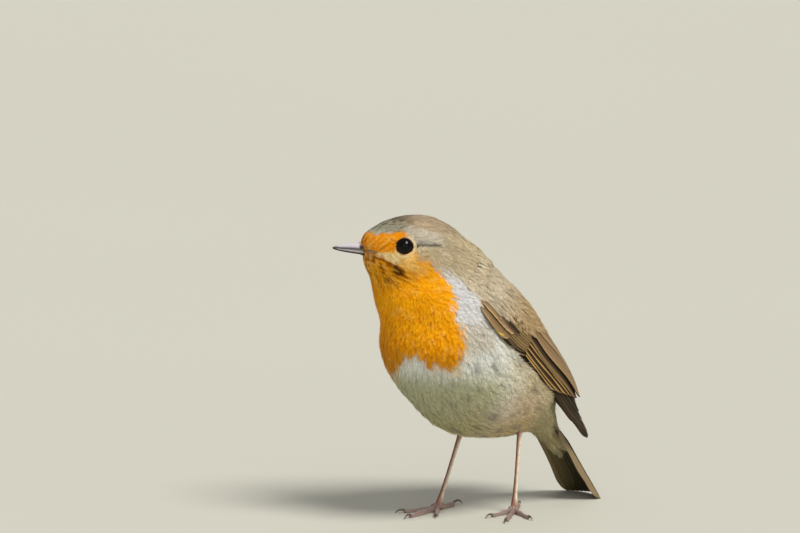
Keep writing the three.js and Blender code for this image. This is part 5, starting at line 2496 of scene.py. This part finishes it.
# ------------------------------------------------------------------ eyes
@dataclass
class Eye:
    """An eyeball with a domed front, a dark iris and pupil, and the lids round it."""

    anatomy: Anatomy
    side: str
    radius: float = 3.3
    dome: float = 0.25
    pupil: float = 1.6
    iris: float = 2.55
    lid_radius: float = 2.74
    lid_thick: float = 0.15
    ring_count: int = 90
    lid_rings: int = 56
    lid_sides: int = 12
    pupil_tone: Shade = (4, 3, 3)
    iris_tone: Shade = (20, 11, 7)
    rim_tone: Shade = (6, 4, 3)
    socket_tone: Shade = (150, 112, 62)
    lid_tone: Shade = (58, 48, 40)
    lid_edge_tone: Shade = (150, 92, 26)
    lid_pale_tone: Shade = (196, 176, 140)

    def __post_init__(self) -> None:
        """Finds the ball's middle and the way that it looks."""
        self.hand = 1.0 if self.side == "left" else -1.0
        self.middle = self.anatomy.centre(f"eye_{self.side}")
        self.gaze = self.anatomy.gaze(self.hand)
        self.over = unit(self.anatomy.up - self.gaze * (self.anatomy.up @ self.gaze))
        self.across = np.cross(self.over, self.gaze)
        self.ahead = self.across * -self.hand

    def build(self, skin: Skin, plumage: Plumage) -> None:
        """Makes the ball, the lids and the ring of small feathers round them.

        Args:
            skin: the surface that the ring of feathers lies on.
            plumage: gives the feathers' colours.
        """
        self.ball()
        self.lids()
        self.ring(skin, plumage)

    def ring(self, skin: Skin, plumage: Plumage) -> None:
        """Two rows of tiny feathers that spread from the lids over the coat's edge.

        Args:
            skin: the surface that the feathers lie on.
            plumage: gives their colours.
        """
        rng = np.random.default_rng(61)
        count = self.ring_count
        angle = (np.arange(2 * count) + rng.uniform(-0.4, 0.4, 2 * count)) * 2.0 * math.pi / count
        start = np.repeat([2.82, 2.98], count) + rng.normal(0.0, 0.04, 2 * count)
        length = np.repeat([0.6, 0.8], count) * rng.uniform(0.8, 1.2, 2 * count)
        out = self.ahead * np.cos(angle)[:, None] + self.over * np.sin(angle)[:, None]
        sweep = unit(out - self.ahead * 0.45)
        spot = self.middle + out * start[:, None]
        spot = spot + self.gaze * np.sqrt(np.clip(self.radius**2 - start**2, 0.2, None))[:, None]
        runs, ups = [], []
        for step in RUN_STEPS:
            place, up = skin.outer.nearest(spot + sweep * (length * step)[:, None])
            runs.append(place + up * (0.12 - 0.10 * step))
            ups.append(up)
        behind, below = np.clip(-np.cos(angle), 0, 1), np.clip(-np.sin(angle), 0, 1)
        pale = 0.65 * np.maximum(behind, 0.8 * below)
        tone = mix(plumage.colour(runs[-1] + 0.8 * out), PALETTE["cream"] * 0.92, pale)
        chart = np.stack([0.5 + 0.3 * np.cos(angle), 0.5 + 0.3 * np.sin(angle)], axis=1)
        quills = Quills(
            np.stack(runs, axis=1), np.stack(ups, axis=1), length, 0.42 * length,
            np.full(len(angle), 0.12), np.full(len(angle), 0.03), tone, chart,
        )
        piece = Barbs(4, 0.07).mesh(f"eye_{self.side}_ring", quills, rng)
        finish(piece, piece.name, "throat", FeatherFinish("ring_plumage").material())

    def ball(self) -> None:
        """The eyeball, its pole turned to the gaze and its front raised as a cornea."""
        bpy.ops.object.select_all(action="DESELECT")
        bpy.ops.mesh.primitive_uv_sphere_add(segments=64, ring_count=40, radius=self.radius * MM)
        piece = bpy.context.object
        local = points_of(piece)
        reach = np.hypot(local[:, 0], local[:, 1])
        front = local[:, 2] > 0
        swell = np.where(front, self.dome * np.clip(1 - (reach / self.iris) ** 2, 0, 1) ** 1.2, 0.0)
        local[:, 2] += swell
        place = self.middle + local[:, :1] * self.across + local[:, 1:2] * self.over
        move_points(piece, place + local[:, 2:] * self.gaze)
        # The iris painted lighter towards its lower edge: painted glow of the light that the cornea
        # gathers there.
        low = smoothstep(0.6, -1.8, local[:, 1])
        iris = linear(self.iris_tone) * (0.35 + 1.1 * low[:, None])
        tone = even(self.pupil_tone, len(local))
        tone = mix(tone, iris, smoothstep(self.pupil, self.pupil + 0.3, reach))
        tone = mix(tone, linear(self.rim_tone), smoothstep(self.iris - 0.2, self.iris, reach))
        tone = mix(tone, linear(self.socket_tone), smoothstep(2.78, 2.95, reach))
        tone[~front] = linear(self.socket_tone)
        paint(piece, tone)
        only(piece)
        bpy.ops.object.shade_smooth()
        look = HardFinish("eye", 0.16, coat=0.22, grain=2500.0, mottle=0.3, relief=0.0, specular=0.07)
        finish(piece, f"eye_{self.side}_ball", "eye", look.material(), f"eye_{self.side}")

    def lids(self) -> None:
        """The bare rims of the lids: a thin dark ring, drawn out a little at its two corners."""
        angle = np.linspace(0.0, 2.0 * math.pi, self.lid_rings, endpoint=False)
        corner = 0.16 * np.clip(np.abs(np.cos(angle)), 0, 1) ** 8
        reach = self.lid_radius + corner
        rise = math.sqrt(self.radius**2 - self.lid_radius**2)
        path = (
            self.middle + self.gaze * (rise - 0.02)
            + self.ahead * (np.cos(angle) * reach)[:, None]
            + self.over * (np.sin(angle) * reach * 0.98)[:, None]
        )
        bpy.ops.object.select_all(action="DESELECT")
        bpy.ops.mesh.primitive_torus_add(
            major_segments=self.lid_rings, minor_segments=self.lid_sides,
            major_radius=MM, minor_radius=0.1 * MM,
        )
        piece = bpy.context.object
        out = unit(path - self.middle - self.gaze * rise)
        turn = np.linspace(0.0, 2.0 * math.pi, self.lid_sides, endpoint=False)
        ring = np.cos(turn)[None, :, None] * out[:, None] * 1.1 + np.sin(turn)[None, :, None] * self.gaze
        points = path[:, None] + ring * self.lid_thick
        move_points(piece, points.reshape(-1, 3))
        only(piece)
        bpy.ops.object.mode_set(mode="EDIT")
        bpy.ops.mesh.select_all(action="SELECT")
        bpy.ops.mesh.normals_make_consistent(inside=False)
        bpy.ops.object.mode_set(mode="OBJECT")
        tone = even(self.lid_tone, len(piece.data.vertices)).copy()
        outside = np.tile(np.cos(turn) > 0.2, len(angle))
        pale = np.repeat(np.clip(0.2 - np.cos(angle) - 0.6 * np.sin(angle), 0.0, 1.0), len(turn))
        rim = mix(even(self.lid_edge_tone, len(tone)), linear(self.lid_pale_tone), pale)
        tone[outside] = rim[outside]
        paint(piece, tone)
        bpy.ops.object.shade_smooth()
        look = HardFinish("eyelid", 0.6, grain=2500.0, mottle=0.25)
        finish(piece, f"eye_{self.side}_lids", "eye", look.material())


# ------------------------------------------------------------------ bill
@dataclass
class Bill:
    """The two halves of the bill, meeting along the gape, with a nostril on each side."""

    anatomy: Anatomy
    root: float = 9.0
    sides: int = 20
    rings: int = 44
    nostril: Pair = (16.4, 0.1)
    # How tall each half is, for its shading: mm forward, mm.
    tall: Line = ((9.0, 2.6), (20.0, 1.5), (24.0, 0.8), (25.8, 0.3))
    # The bristles: how many, where their roots start in mm forward, their lengths in mm, and how
    # clear of the bill they lie at the root and how much nearer at the tip.
    bristle_count: int = 420
    bristle_start: float = 14.3
    bristle_length: Pair = (0.7, 1.6)
    bristle_clear: Pair = (0.34, 0.14)
    # How the bill's sides are rounded.
    roundness: float = 0.85
    dark_tone: Shade = (22, 17, 20)
    # Painted highlights: along the upper half's ridge and above its gape line, and along the top of the
    # lower half.
    mid_tone: Shade = (194, 188, 200)
    pale_tone: Shade = (204, 194, 202)
    gape_tone: Shade = (186, 172, 132)
    # Painted shade in the nostril's opening.
    slit_tone: Shade = (20, 16, 14)

    def __post_init__(self) -> None:
        """Takes the bill's reach from the head's own measures."""
        self.tip, self.length = self.anatomy.bill_tip, self.anatomy.bill_length

    def gape(self, forward: Array) -> Array:
        """The height of the line between the two halves, which dips to the mouth's corner."""
        return -0.7 - 0.085 * (self.tip - forward)

    def half_width(self, forward: Array) -> Array:
        """Half of the bill's width, which flares at the mouth's corner."""
        slim = np.clip((self.tip - forward) / self.length, 0.0, 1.0) ** 0.8
        return 0.10 + 2.55 * slim + 1.6 * smoothstep(16.5, 11.5, forward)

    def outline(self, forward: Array) -> tuple[Array, Array]:
        """The heights of the bill's ridge and of its underside."""
        left = np.clip((self.tip - forward) / self.length, 0.0, 1.0)
        return -0.62 + 2.25 * left**0.50, -0.80 - 2.75 * left**0.55

    def build(self) -> None:
        """Makes both halves."""
        forward = self.root + (self.tip - self.root) * (1 - (1 - np.linspace(0, 1, self.rings)) ** 1.5)
        top, bottom = self.outline(forward)
        upper = self.half(forward, top, 1.0, hook=0.10)
        lower = self.half(forward, bottom, -1.0, hook=0.0)
        self.dress(upper, "bill_upper_half", "bill_upper", 1.0)
        self.dress(lower, "bill_lower_half", "bill_lower", -1.0)
        self.bristles()

    def bristles(self) -> None:
        """The small stiff feathers that lie forward from the face over the bill's root."""
        rng = np.random.default_rng(83)
        count = self.bristle_count
        turn = rng.uniform(0.0, 2.0 * math.pi, count)
        upper = np.sin(turn) > 0.0
        start = self.bristle_start + 1.6 * rng.random(count) - 0.9 * np.abs(np.cos(turn))
        length = rng.uniform(*self.bristle_length, count) * np.where(upper, 1.0, 0.8)
        length = length * (1.0 + 0.35 * np.clip(np.sin(turn), 0.0, 1.0))
        runs = []
        for step in RUN_STEPS:
            forward = start + length * step
            gape = self.gape(forward)
            edge = np.where(upper, *self.outline(forward))
            clear = self.bristle_clear[0] - self.bristle_clear[1] * step
            side = self.half_width(forward) * np.abs(np.cos(turn)) ** self.roundness
            side = (side + clear) * np.sign(np.cos(turn))
            height = gape + (np.abs(edge - gape) + clear) * np.sin(turn)
            runs.append(self.anatomy.at_head(forward, side, height))
        runs = np.stack(runs, axis=1)
        out = self.anatomy.left * np.cos(turn)[:, None] + self.anatomy.up * np.sin(turn)[:, None]
        shades = np.stack([PALETTE["orange_deep"], PALETTE["rust"], PALETTE["orange_pale"]])
        tone = shades[rng.choice(3, count, p=[0.55, 0.27, 0.18])] * rng.uniform(0.7, 1.0, (count, 1))
        near = np.abs(np.sin(turn)) < 0.35
        tone = np.where(near[:, None], mix(tone, PALETTE["horn"] * 0.6, np.full(count, 0.75)), tone)
        chart = np.stack([0.5 + 0.3 * np.cos(turn), 0.5 + 0.3 * np.sin(turn)], axis=1)
        quills = Quills(
            runs, np.repeat(out[:, None], 5, axis=1), length, 0.20 * length,
            np.full(count, 0.10), np.full(count, 0.04), tone, chart,
        )
        piece = Barbs(4, 0.06).mesh("bill_bristles", quills, rng)
        finish(piece, piece.name, "throat", FeatherFinish("bristle_plumage").material())

    def half(self, forward: Array, ridge: Array, sign: float, hook: float) -> Array:
        """The rings of one half.

        Args:
            forward: how far each ring is in front of the head's middle.
            ridge: the height of the half's ridge at each ring.
            sign: 1 for the upper half, -1 for the lower.
            hook: how far the tip is turned down.
        Returns:
            The rings in the frame.
        """
        gape, wide = self.gape(forward), self.half_width(forward)
        if sign < 0:
            wide = wide * 0.94
        angle = np.linspace(0.0, 2.0 * math.pi, self.sides, endpoint=False)
        tall = (ridge - gape) * sign
        arch = np.sin(angle)
        side = np.sign(np.cos(angle)) * np.abs(np.cos(angle)) ** self.roundness
        above = np.where(arch > 0, np.abs(arch) ** 1.15, 0.12 * arch)
        lateral = wide[:, None] * side * np.where(arch > 0, 1.0 - 0.16 * arch, 0.9)
        height = gape[:, None] + sign * (tall[:, None] * above + 0.03)
        drop = hook * smoothstep(self.tip - 2.2, self.tip, forward)[:, None] * 1.6
        rings = self.anatomy.at_head(forward[:, None], lateral, height - drop)
        if sign > 0:
            rings = self.nostrils(rings, forward, lateral, height)
        return rings

    def nostrils(self, rings: Array, forward: Array, lateral: Array, height: Array) -> Array:
        """Presses a slit nostril into each side of the upper half.

        Args:
            rings: the rings of the half.
            forward: how far forward each ring is.
            lateral: how far to the left each point is.
            height: how high each point is.
        Returns:
            The rings with the nostrils.
        """
        along = forward[:, None] - self.nostril[0]
        above = (height - self.nostril[1] + 0.25) / 0.38
        inside = np.exp(-(along**2 + above**2) * 1.6) * 0.42
        return rings - self.anatomy.left * (np.sign(lateral) * inside)[..., None]

    def dress(self, rings: Array, name: str, node: str, sign: float) -> None:
        """Models, colours and places one half.

        Args:
            rings: the rings of the half.
            name: the piece's name.
            node: the frame part that it replaces.
            sign: 1 for the upper half, -1 for the lower.
        """
        piece = swept(name, rings)
        forward, side, up = self.anatomy.from_head(points_of(piece))
        dark, mid = linear(self.dark_tone), linear(self.mid_tone)
        gape = self.gape(forward)
        tall = on_line(self.tall, forward)
        away = np.clip((up - gape) * sign / tall, 0.0, 1.2)
        if sign > 0:
            # The upper half painted with highlights along its ridge and above the gape line.
            tone = mix(even(self.dark_tone, len(up)), mid, smoothstep(0.30, 0.85, away))
            tone = mix(tone, mid, 0.55 * smoothstep(0.16, 0.04, away) * smoothstep(24.0, 20.0, forward))
        else:
            # The lower half painted with a highlight along its top, dark below.
            tone = mix(even(self.pale_tone, len(up)), dark, smoothstep(0.14, 0.40, away))
        tone = mix(tone, dark, 0.6 * smoothstep(23.6, 25.2, forward))
        near = smoothstep(0.55, 0.1, np.abs(up - gape)) * smoothstep(19.0, 15.0, forward)
        tone = mix(tone, linear(self.gape_tone), 0.7 * near)
        # The nostril's opening painted dark with shade.
        slit = ((forward - self.nostril[0]) / 0.75) ** 2 + ((up - self.nostril[1] + 0.25) / 0.26) ** 2
        if sign > 0:
            tone = mix(tone, linear(self.slit_tone), smoothstep(1.4, 0.6, slit) * (np.abs(side) > 0.6))
        paint(piece, tone)
        look = HardFinish("horn", 0.30, coat=0.15, grain=1300.0, mottle=0.15, relief=0.12)
        finish(piece, name, "horn", look.material(), node)


# ------------------------------------------------------------------ legs and feet
@dataclass(frozen=True)
class Toe:
    """One toe: its bearing from the middle toe, its length, its claw's length and its radius."""

    bearing: float
    length: float
    claw: float
    radius: float


class Toes(Enum):
    """The four toes of a foot."""

    HIND = Toe(180.0, 8.0, 6.0, 0.95)
    INNER = Toe(-33.0, 9.8, 4.2, 0.80)
    MIDDLE = Toe(0.0, 14.2, 4.6, 0.85)
    OUTER = Toe(33.0, 10.8, 4.2, 0.78)


@dataclass
class Leg:
    """A scaled leg with four toes and their claws."""

    anatomy: Anatomy
    side: str
    foot: Pair
    heel: Triple
    turn: float
    # The shank's half width down its length: share of the length, mm.
    shank: Line = (
        (0.0, 1.05), (0.12, 0.84), (0.3, 0.70), (0.6, 0.66), (0.84, 0.84), (0.93, 1.22), (1.0, 0.95),
    )
    scutes: float = 9.0
    # The side of the shank that is painted lit, the other side painted in shade, in radians round it.
    lit_bearing: float = 0.9
    toe_rings: int = 64
    claw_rings: int = 28
    sides: int = 16
    claw_sides: int = 12
    skin_tone: Shade = (158, 120, 100)
    # The painted highlight of the lit side and the painted shade of the other side.
    pale_tone: Shade = (240, 226, 204)
    shade_tone: Shade = (102, 58, 44)
    joint_tone: Shade = (146, 96, 84)
    seam_tone: Shade = (122, 88, 72)
    toe_tone: Shade = (140, 118, 114)
    pad_tone: Shade = (188, 168, 150)
    scute_tone: Shade = (92, 74, 66)
    claw_tone: Shade = (112, 92, 80)
    claw_tip_tone: Shade = (58, 46, 40)
    toe_floor: float = 0.03
    claw_floor: float = 0.02
    across: Triple = (1.0, 0.0, 0.0)

    def build(self) -> None:
        """Makes the tarsus, the toes and the claws."""
        hand = 1.0 if self.side == "left" else -1.0
        scale = HardFinish("leg_scale", 0.42, grain=1500.0, mottle=0.16, relief=0.25, subsurface=0.1)
        claw = HardFinish("claw", 0.35, coat=0.1, grain=1200.0, mottle=0.15)
        scale, claw = scale.material(), claw.material()
        self.tarsus(scale)
        for toe in Toes:
            angle = math.radians(self.turn + hand * toe.value.bearing)
            name = toe.name.lower()
            self.toe(f"toe_{self.side}_{name}", toe.value, angle, scale)
            self.claw(f"claw_{self.side}_{name}", toe.value, angle, claw)

    def from_foot(self, points: Array, angle: float) -> Array:
        """Places given in a toe's own frame, along -Y, turned about the ankle.

        Args:
            points: places in the toe's own frame.
            angle: the bearing of the toe, in radians.
        Returns:
            The places in the frame.
        """
        out = points.copy()
        out[..., 0] = math.cos(angle) * points[..., 0] - math.sin(angle) * points[..., 1]
        out[..., 1] = math.sin(angle) * points[..., 0] + math.cos(angle) * points[..., 1]
        return out + self.anatomy.place(self.foot[0], self.foot[1], 0.0)

    def tarsus(self, material: bpy.types.Material) -> None:
        """The straight shank with its long front scutes, a knob at the top and at the ankle.

        Args:
            material: the finish.
        """
        top = self.anatomy.place(*self.heel)
        base = self.anatomy.place(self.foot[0], self.foot[1], 1.0)
        t = np.linspace(0.0, 1.0, 60)
        path = top + (base - top) * t[:, None]
        size = on_line(self.shank, t)
        steps = (t * self.scutes) % 1.0
        scute = 1.0 + 0.05 * smoothstep(0.0, 0.9, steps) - 0.03
        rings = tube(path, size * 0.86 * scute, size * scute, self.across, self.sides)
        piece = swept(f"tarsus_{self.side}_scaled", rings)
        share = np.repeat(t, self.sides)
        seam = np.repeat(smoothstep(0.12, 0.0, np.minimum(steps, 1 - steps)), self.sides)
        around = np.tile(np.linspace(0, 2 * math.pi, self.sides, endpoint=False), len(t))
        lit = np.cos(around + self.lit_bearing)
        joint = np.maximum(smoothstep(0.84, 0.94, share), smoothstep(0.2, 0.02, share))
        # Painted highlight on the lit side and painted shade on the far side, over the skin's tone, with
        # darker joints and scute seams.
        paint(piece, painted(
            self.skin_tone, len(share),
            (self.pale_tone, 0.95 * smoothstep(-0.1, 0.7, lit)),
            (self.shade_tone, 0.95 * smoothstep(0.1, 0.7, -lit)),
            (self.joint_tone, 0.75 * joint),
            (self.seam_tone, 0.30 * seam),
        ))
        finish(piece, piece.name, "leg", material, f"tarsus_{self.side}")

    def toe(self, name: str, toe: Toe, angle: float, material: bpy.types.Material) -> None:
        """A toe with scutes above and pads below, lying on the floor.

        Args:
            name: the frame part that it replaces.
            toe: its measures.
            angle: the bearing of the toe, in radians.
            material: the finish.
        """
        rest = toe.radius * 0.7
        path = curve_through([
            (0.0, 0.3, 1.9),
            (0.0, -1.5, rest + 0.75),
            (0.0, -3.2, rest + 0.12),
            (0.0, -toe.length * 0.62, rest * 0.92),
            (0.0, -toe.length, rest * 0.78),
            (0.0, -toe.length - 0.35, rest * 0.7),
        ], self.toe_rings)
        t = np.linspace(0.0, 1.0, self.toe_rings)
        joints = max(2, round(toe.length / 3.6))
        pads = 1.0 + 0.17 * np.cos(2 * math.pi * (joints * t + 0.5))
        size = toe.radius * (1.22 - 0.38 * t) * pads
        size[-3:] *= np.array([0.92, 0.72, 0.35])
        scales = (t * toe.length * 1.15) % 1.0
        ridge = 1.0 + 0.07 * smoothstep(0.0, 0.8, scales)
        rings = tube(path, size * 0.92, size * 0.95, self.across, self.sides)
        above = np.sin(np.linspace(0.0, 2.0 * math.pi, self.sides, endpoint=False))
        middle = path[:, None]
        lift = 1.0 + (ridge[:, None] - 1.0) * np.abs(above)
        rings = middle + (rings - middle) * lift[..., None]
        rings = self.from_foot(rings, angle)
        rings[..., 2] = np.maximum(rings[..., 2], self.toe_floor)
        piece = swept(f"{name}_scaled", rings)
        local_top = np.repeat(path[:, 2], self.sides)
        share = np.repeat(t, self.sides)
        seam = np.repeat(smoothstep(0.16, 0.0, np.minimum(scales, 1 - scales)), self.sides)
        high = smoothstep(-0.2, 0.4, points_of(piece)[:, 2] - local_top)
        paint(piece, painted(
            self.toe_tone, len(share),
            (self.joint_tone, 0.7 * smoothstep(0.3, 0.0, share)),
            (self.pad_tone, 0.45 * (1 - high)),
            (self.scute_tone, 0.6 * seam * high),
        ))
        finish(piece, piece.name, "leg", material, name)

    def claw(self, name: str, toe: Toe, angle: float, material: bpy.types.Material) -> None:
        """A curved claw that arches up from the toe and comes back to the floor.

        Args:
            name: the frame part that it replaces.
            toe: its measures.
            angle: the bearing of the toe, in radians.
            material: the finish.
        """
        root = toe.radius * 0.6
        start = toe.length - 0.3
        t = np.linspace(0.0, 1.0, self.claw_rings)[:, None]
        p0 = np.array([0.0, -start, root * 1.12])
        p1 = np.array([0.0, -start - toe.claw * 0.66, root * 1.2 + toe.claw * 0.34])
        p2 = np.array([0.0, -start - 0.3 - toe.claw * 0.94, 0.12])
        path = p0 * (1 - t) ** 2 + 2 * p1 * t * (1 - t) + p2 * t**2
        t = t[:, 0]
        size = (1.0 - t) ** 0.62
        wide = 0.05 + (root * 0.62 - 0.05) * size
        deep = 0.05 + (root * 0.86 - 0.05) * size
        rings = tube(path, wide, deep, self.across, self.claw_sides)
        rings = self.from_foot(rings, angle)
        rings[..., 2] = np.maximum(rings[..., 2], self.claw_floor)
        piece = swept(f"{name}_horn", rings)
        dark = smoothstep(0.1, 0.7, np.repeat(t, self.claw_sides))
        paint(piece, painted(self.claw_tone, len(dark), (self.claw_tip_tone, dark)))
        finish(piece, piece.name, "claw", material, name)


# ------------------------------------------------------------------ studio
@dataclass
class Studio:
    """A plain pale floor, soft lamps and the camera."""

    floor_side: float = 9.0
    floor_shade: Shade = (194, 194, 186)
    lens: float = 400.0
    sensor: float = 36.0
    view_width: float = 258.0
    camera_way: Triple = (0.776, -0.607, 0.1736)
    aim: Triple = (-21.2, -17.6, 79.3)

    def build(self) -> None:
        """Sets the floor, the lamps and the camera."""
        self.floor()
        self.lamp("key_light", (0.52, 0.12, 0.85), 2.9, 24.0, (1.0, 0.96, 0.88))
        self.lamp("fill_light", (0.9, -0.5, 0.25), 0.65, 80.0, (1.0, 0.97, 0.90))
        self.lamp("back_light", (-0.5, 0.7, 0.6), 0.4, 60.0, (1.0, 1.0, 1.0))
        world = bpy.data.worlds.new("studio")
        world.use_nodes = True
        world.node_tree.nodes["Background"].inputs["Color"].default_value = (0.85, 0.84, 0.80, 1.0)
        world.node_tree.nodes["Background"].inputs["Strength"].default_value = 0.40
        bpy.context.scene.world = world
        bpy.context.scene.view_settings.view_transform = "Standard"
        self.camera()

    def floor(self) -> None:
        """A plain pale floor under the bird."""
        bpy.ops.mesh.primitive_plane_add(size=self.floor_side, location=(0.0, 0.0, 0.0))
        floor = bpy.context.object
        floor.name = "floor"
        recipe = Recipe("floor_paint")
        ramp = recipe.add("ValToRGB", {"Fac": recipe.noise(3.0)})
        shades = ramp["Color"].node.color_ramp.elements
        for element, strength in zip(shades, (0.97, 1.0)):
            element.color = (*linear(self.floor_shade) * strength, 1.0)
        recipe.feed(recipe.shader, {
            "Base Color": ramp["Color"],
            "Roughness": 0.9,
            "Specular IOR Level": 0.1,
        })
        floor.data.materials.append(recipe.material)

    @staticmethod
    def lamp(name: str, way: Triple, strength: float, softness: float, colour: Triple) -> None:
        """A broad distant lamp that shines from the given direction.

        Args:
            name: the lamp's name.
            way: the direction towards the lamp.
            strength: how bright it is.
            softness: how wide it is, in degrees.
            colour: the colour of its light.
        """
        data = bpy.data.lights.new(name, "SUN")
        data.energy = strength
        data.angle = math.radians(softness)
        data.color = colour
        lamp = bpy.data.objects.new(name, data)
        lamp.rotation_euler = Vector(way).to_track_quat("Z", "Y").to_euler()
        bpy.context.scene.collection.objects.link(lamp)

    def camera(self) -> None:
        """The camera, level with the bird's breast and a little to its left front."""
        data = bpy.data.cameras.new("camera")
        data.lens = self.lens
        data.sensor_width = self.sensor
        data.clip_start = 0.05
        data.clip_end = 60.0
        camera = bpy.data.objects.new("camera", data)
        way = Vector(self.camera_way).normalized()
        distance = self.view_width * self.lens / self.sensor * MM
        camera.location = Vector(self.aim) * MM + way * distance
        camera.rotation_euler = way.to_track_quat("Z", "Y").to_euler()
        bpy.context.scene.collection.objects.link(camera)
        bpy.context.scene.camera = camera


def corners(box: object) -> list[float]:
    """The box's numbers as a plain list."""
    return [float(value) for corner in box for value in corner]


def main() -> None:
    """Builds the robin and its studio."""
    logging.basicConfig(level=logging.INFO, format="%(name)s: %(message)s")
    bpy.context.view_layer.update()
    Studio().build()
    anatomy = Anatomy()
    plumage = Plumage(anatomy)
    lie = Lie(anatomy)
    wings = [Wing(anatomy, "left"), Wing(anatomy, "right")]
    skin = Skin(anatomy, plumage, wings)
    skin.build(lie)
    Coat(anatomy, plumage, lie, skin).build()
    for number, wing in enumerate(wings):
        wing.build(100 + 100 * number)
    Tail(anatomy).build()
    for side in ("left", "right"):
        Eye(anatomy, side).build(skin, plumage)
    Bill(anatomy).build()
    Leg(anatomy, "left", (9.0, 8.6), (8.2, 11.6, 27.5), 42.0).build()
    Leg(anatomy, "right", (-9.0, -8.6), (-8.2, 0.6, 25.5), 16.0).build()


if __name__ == "__main__":
    main()
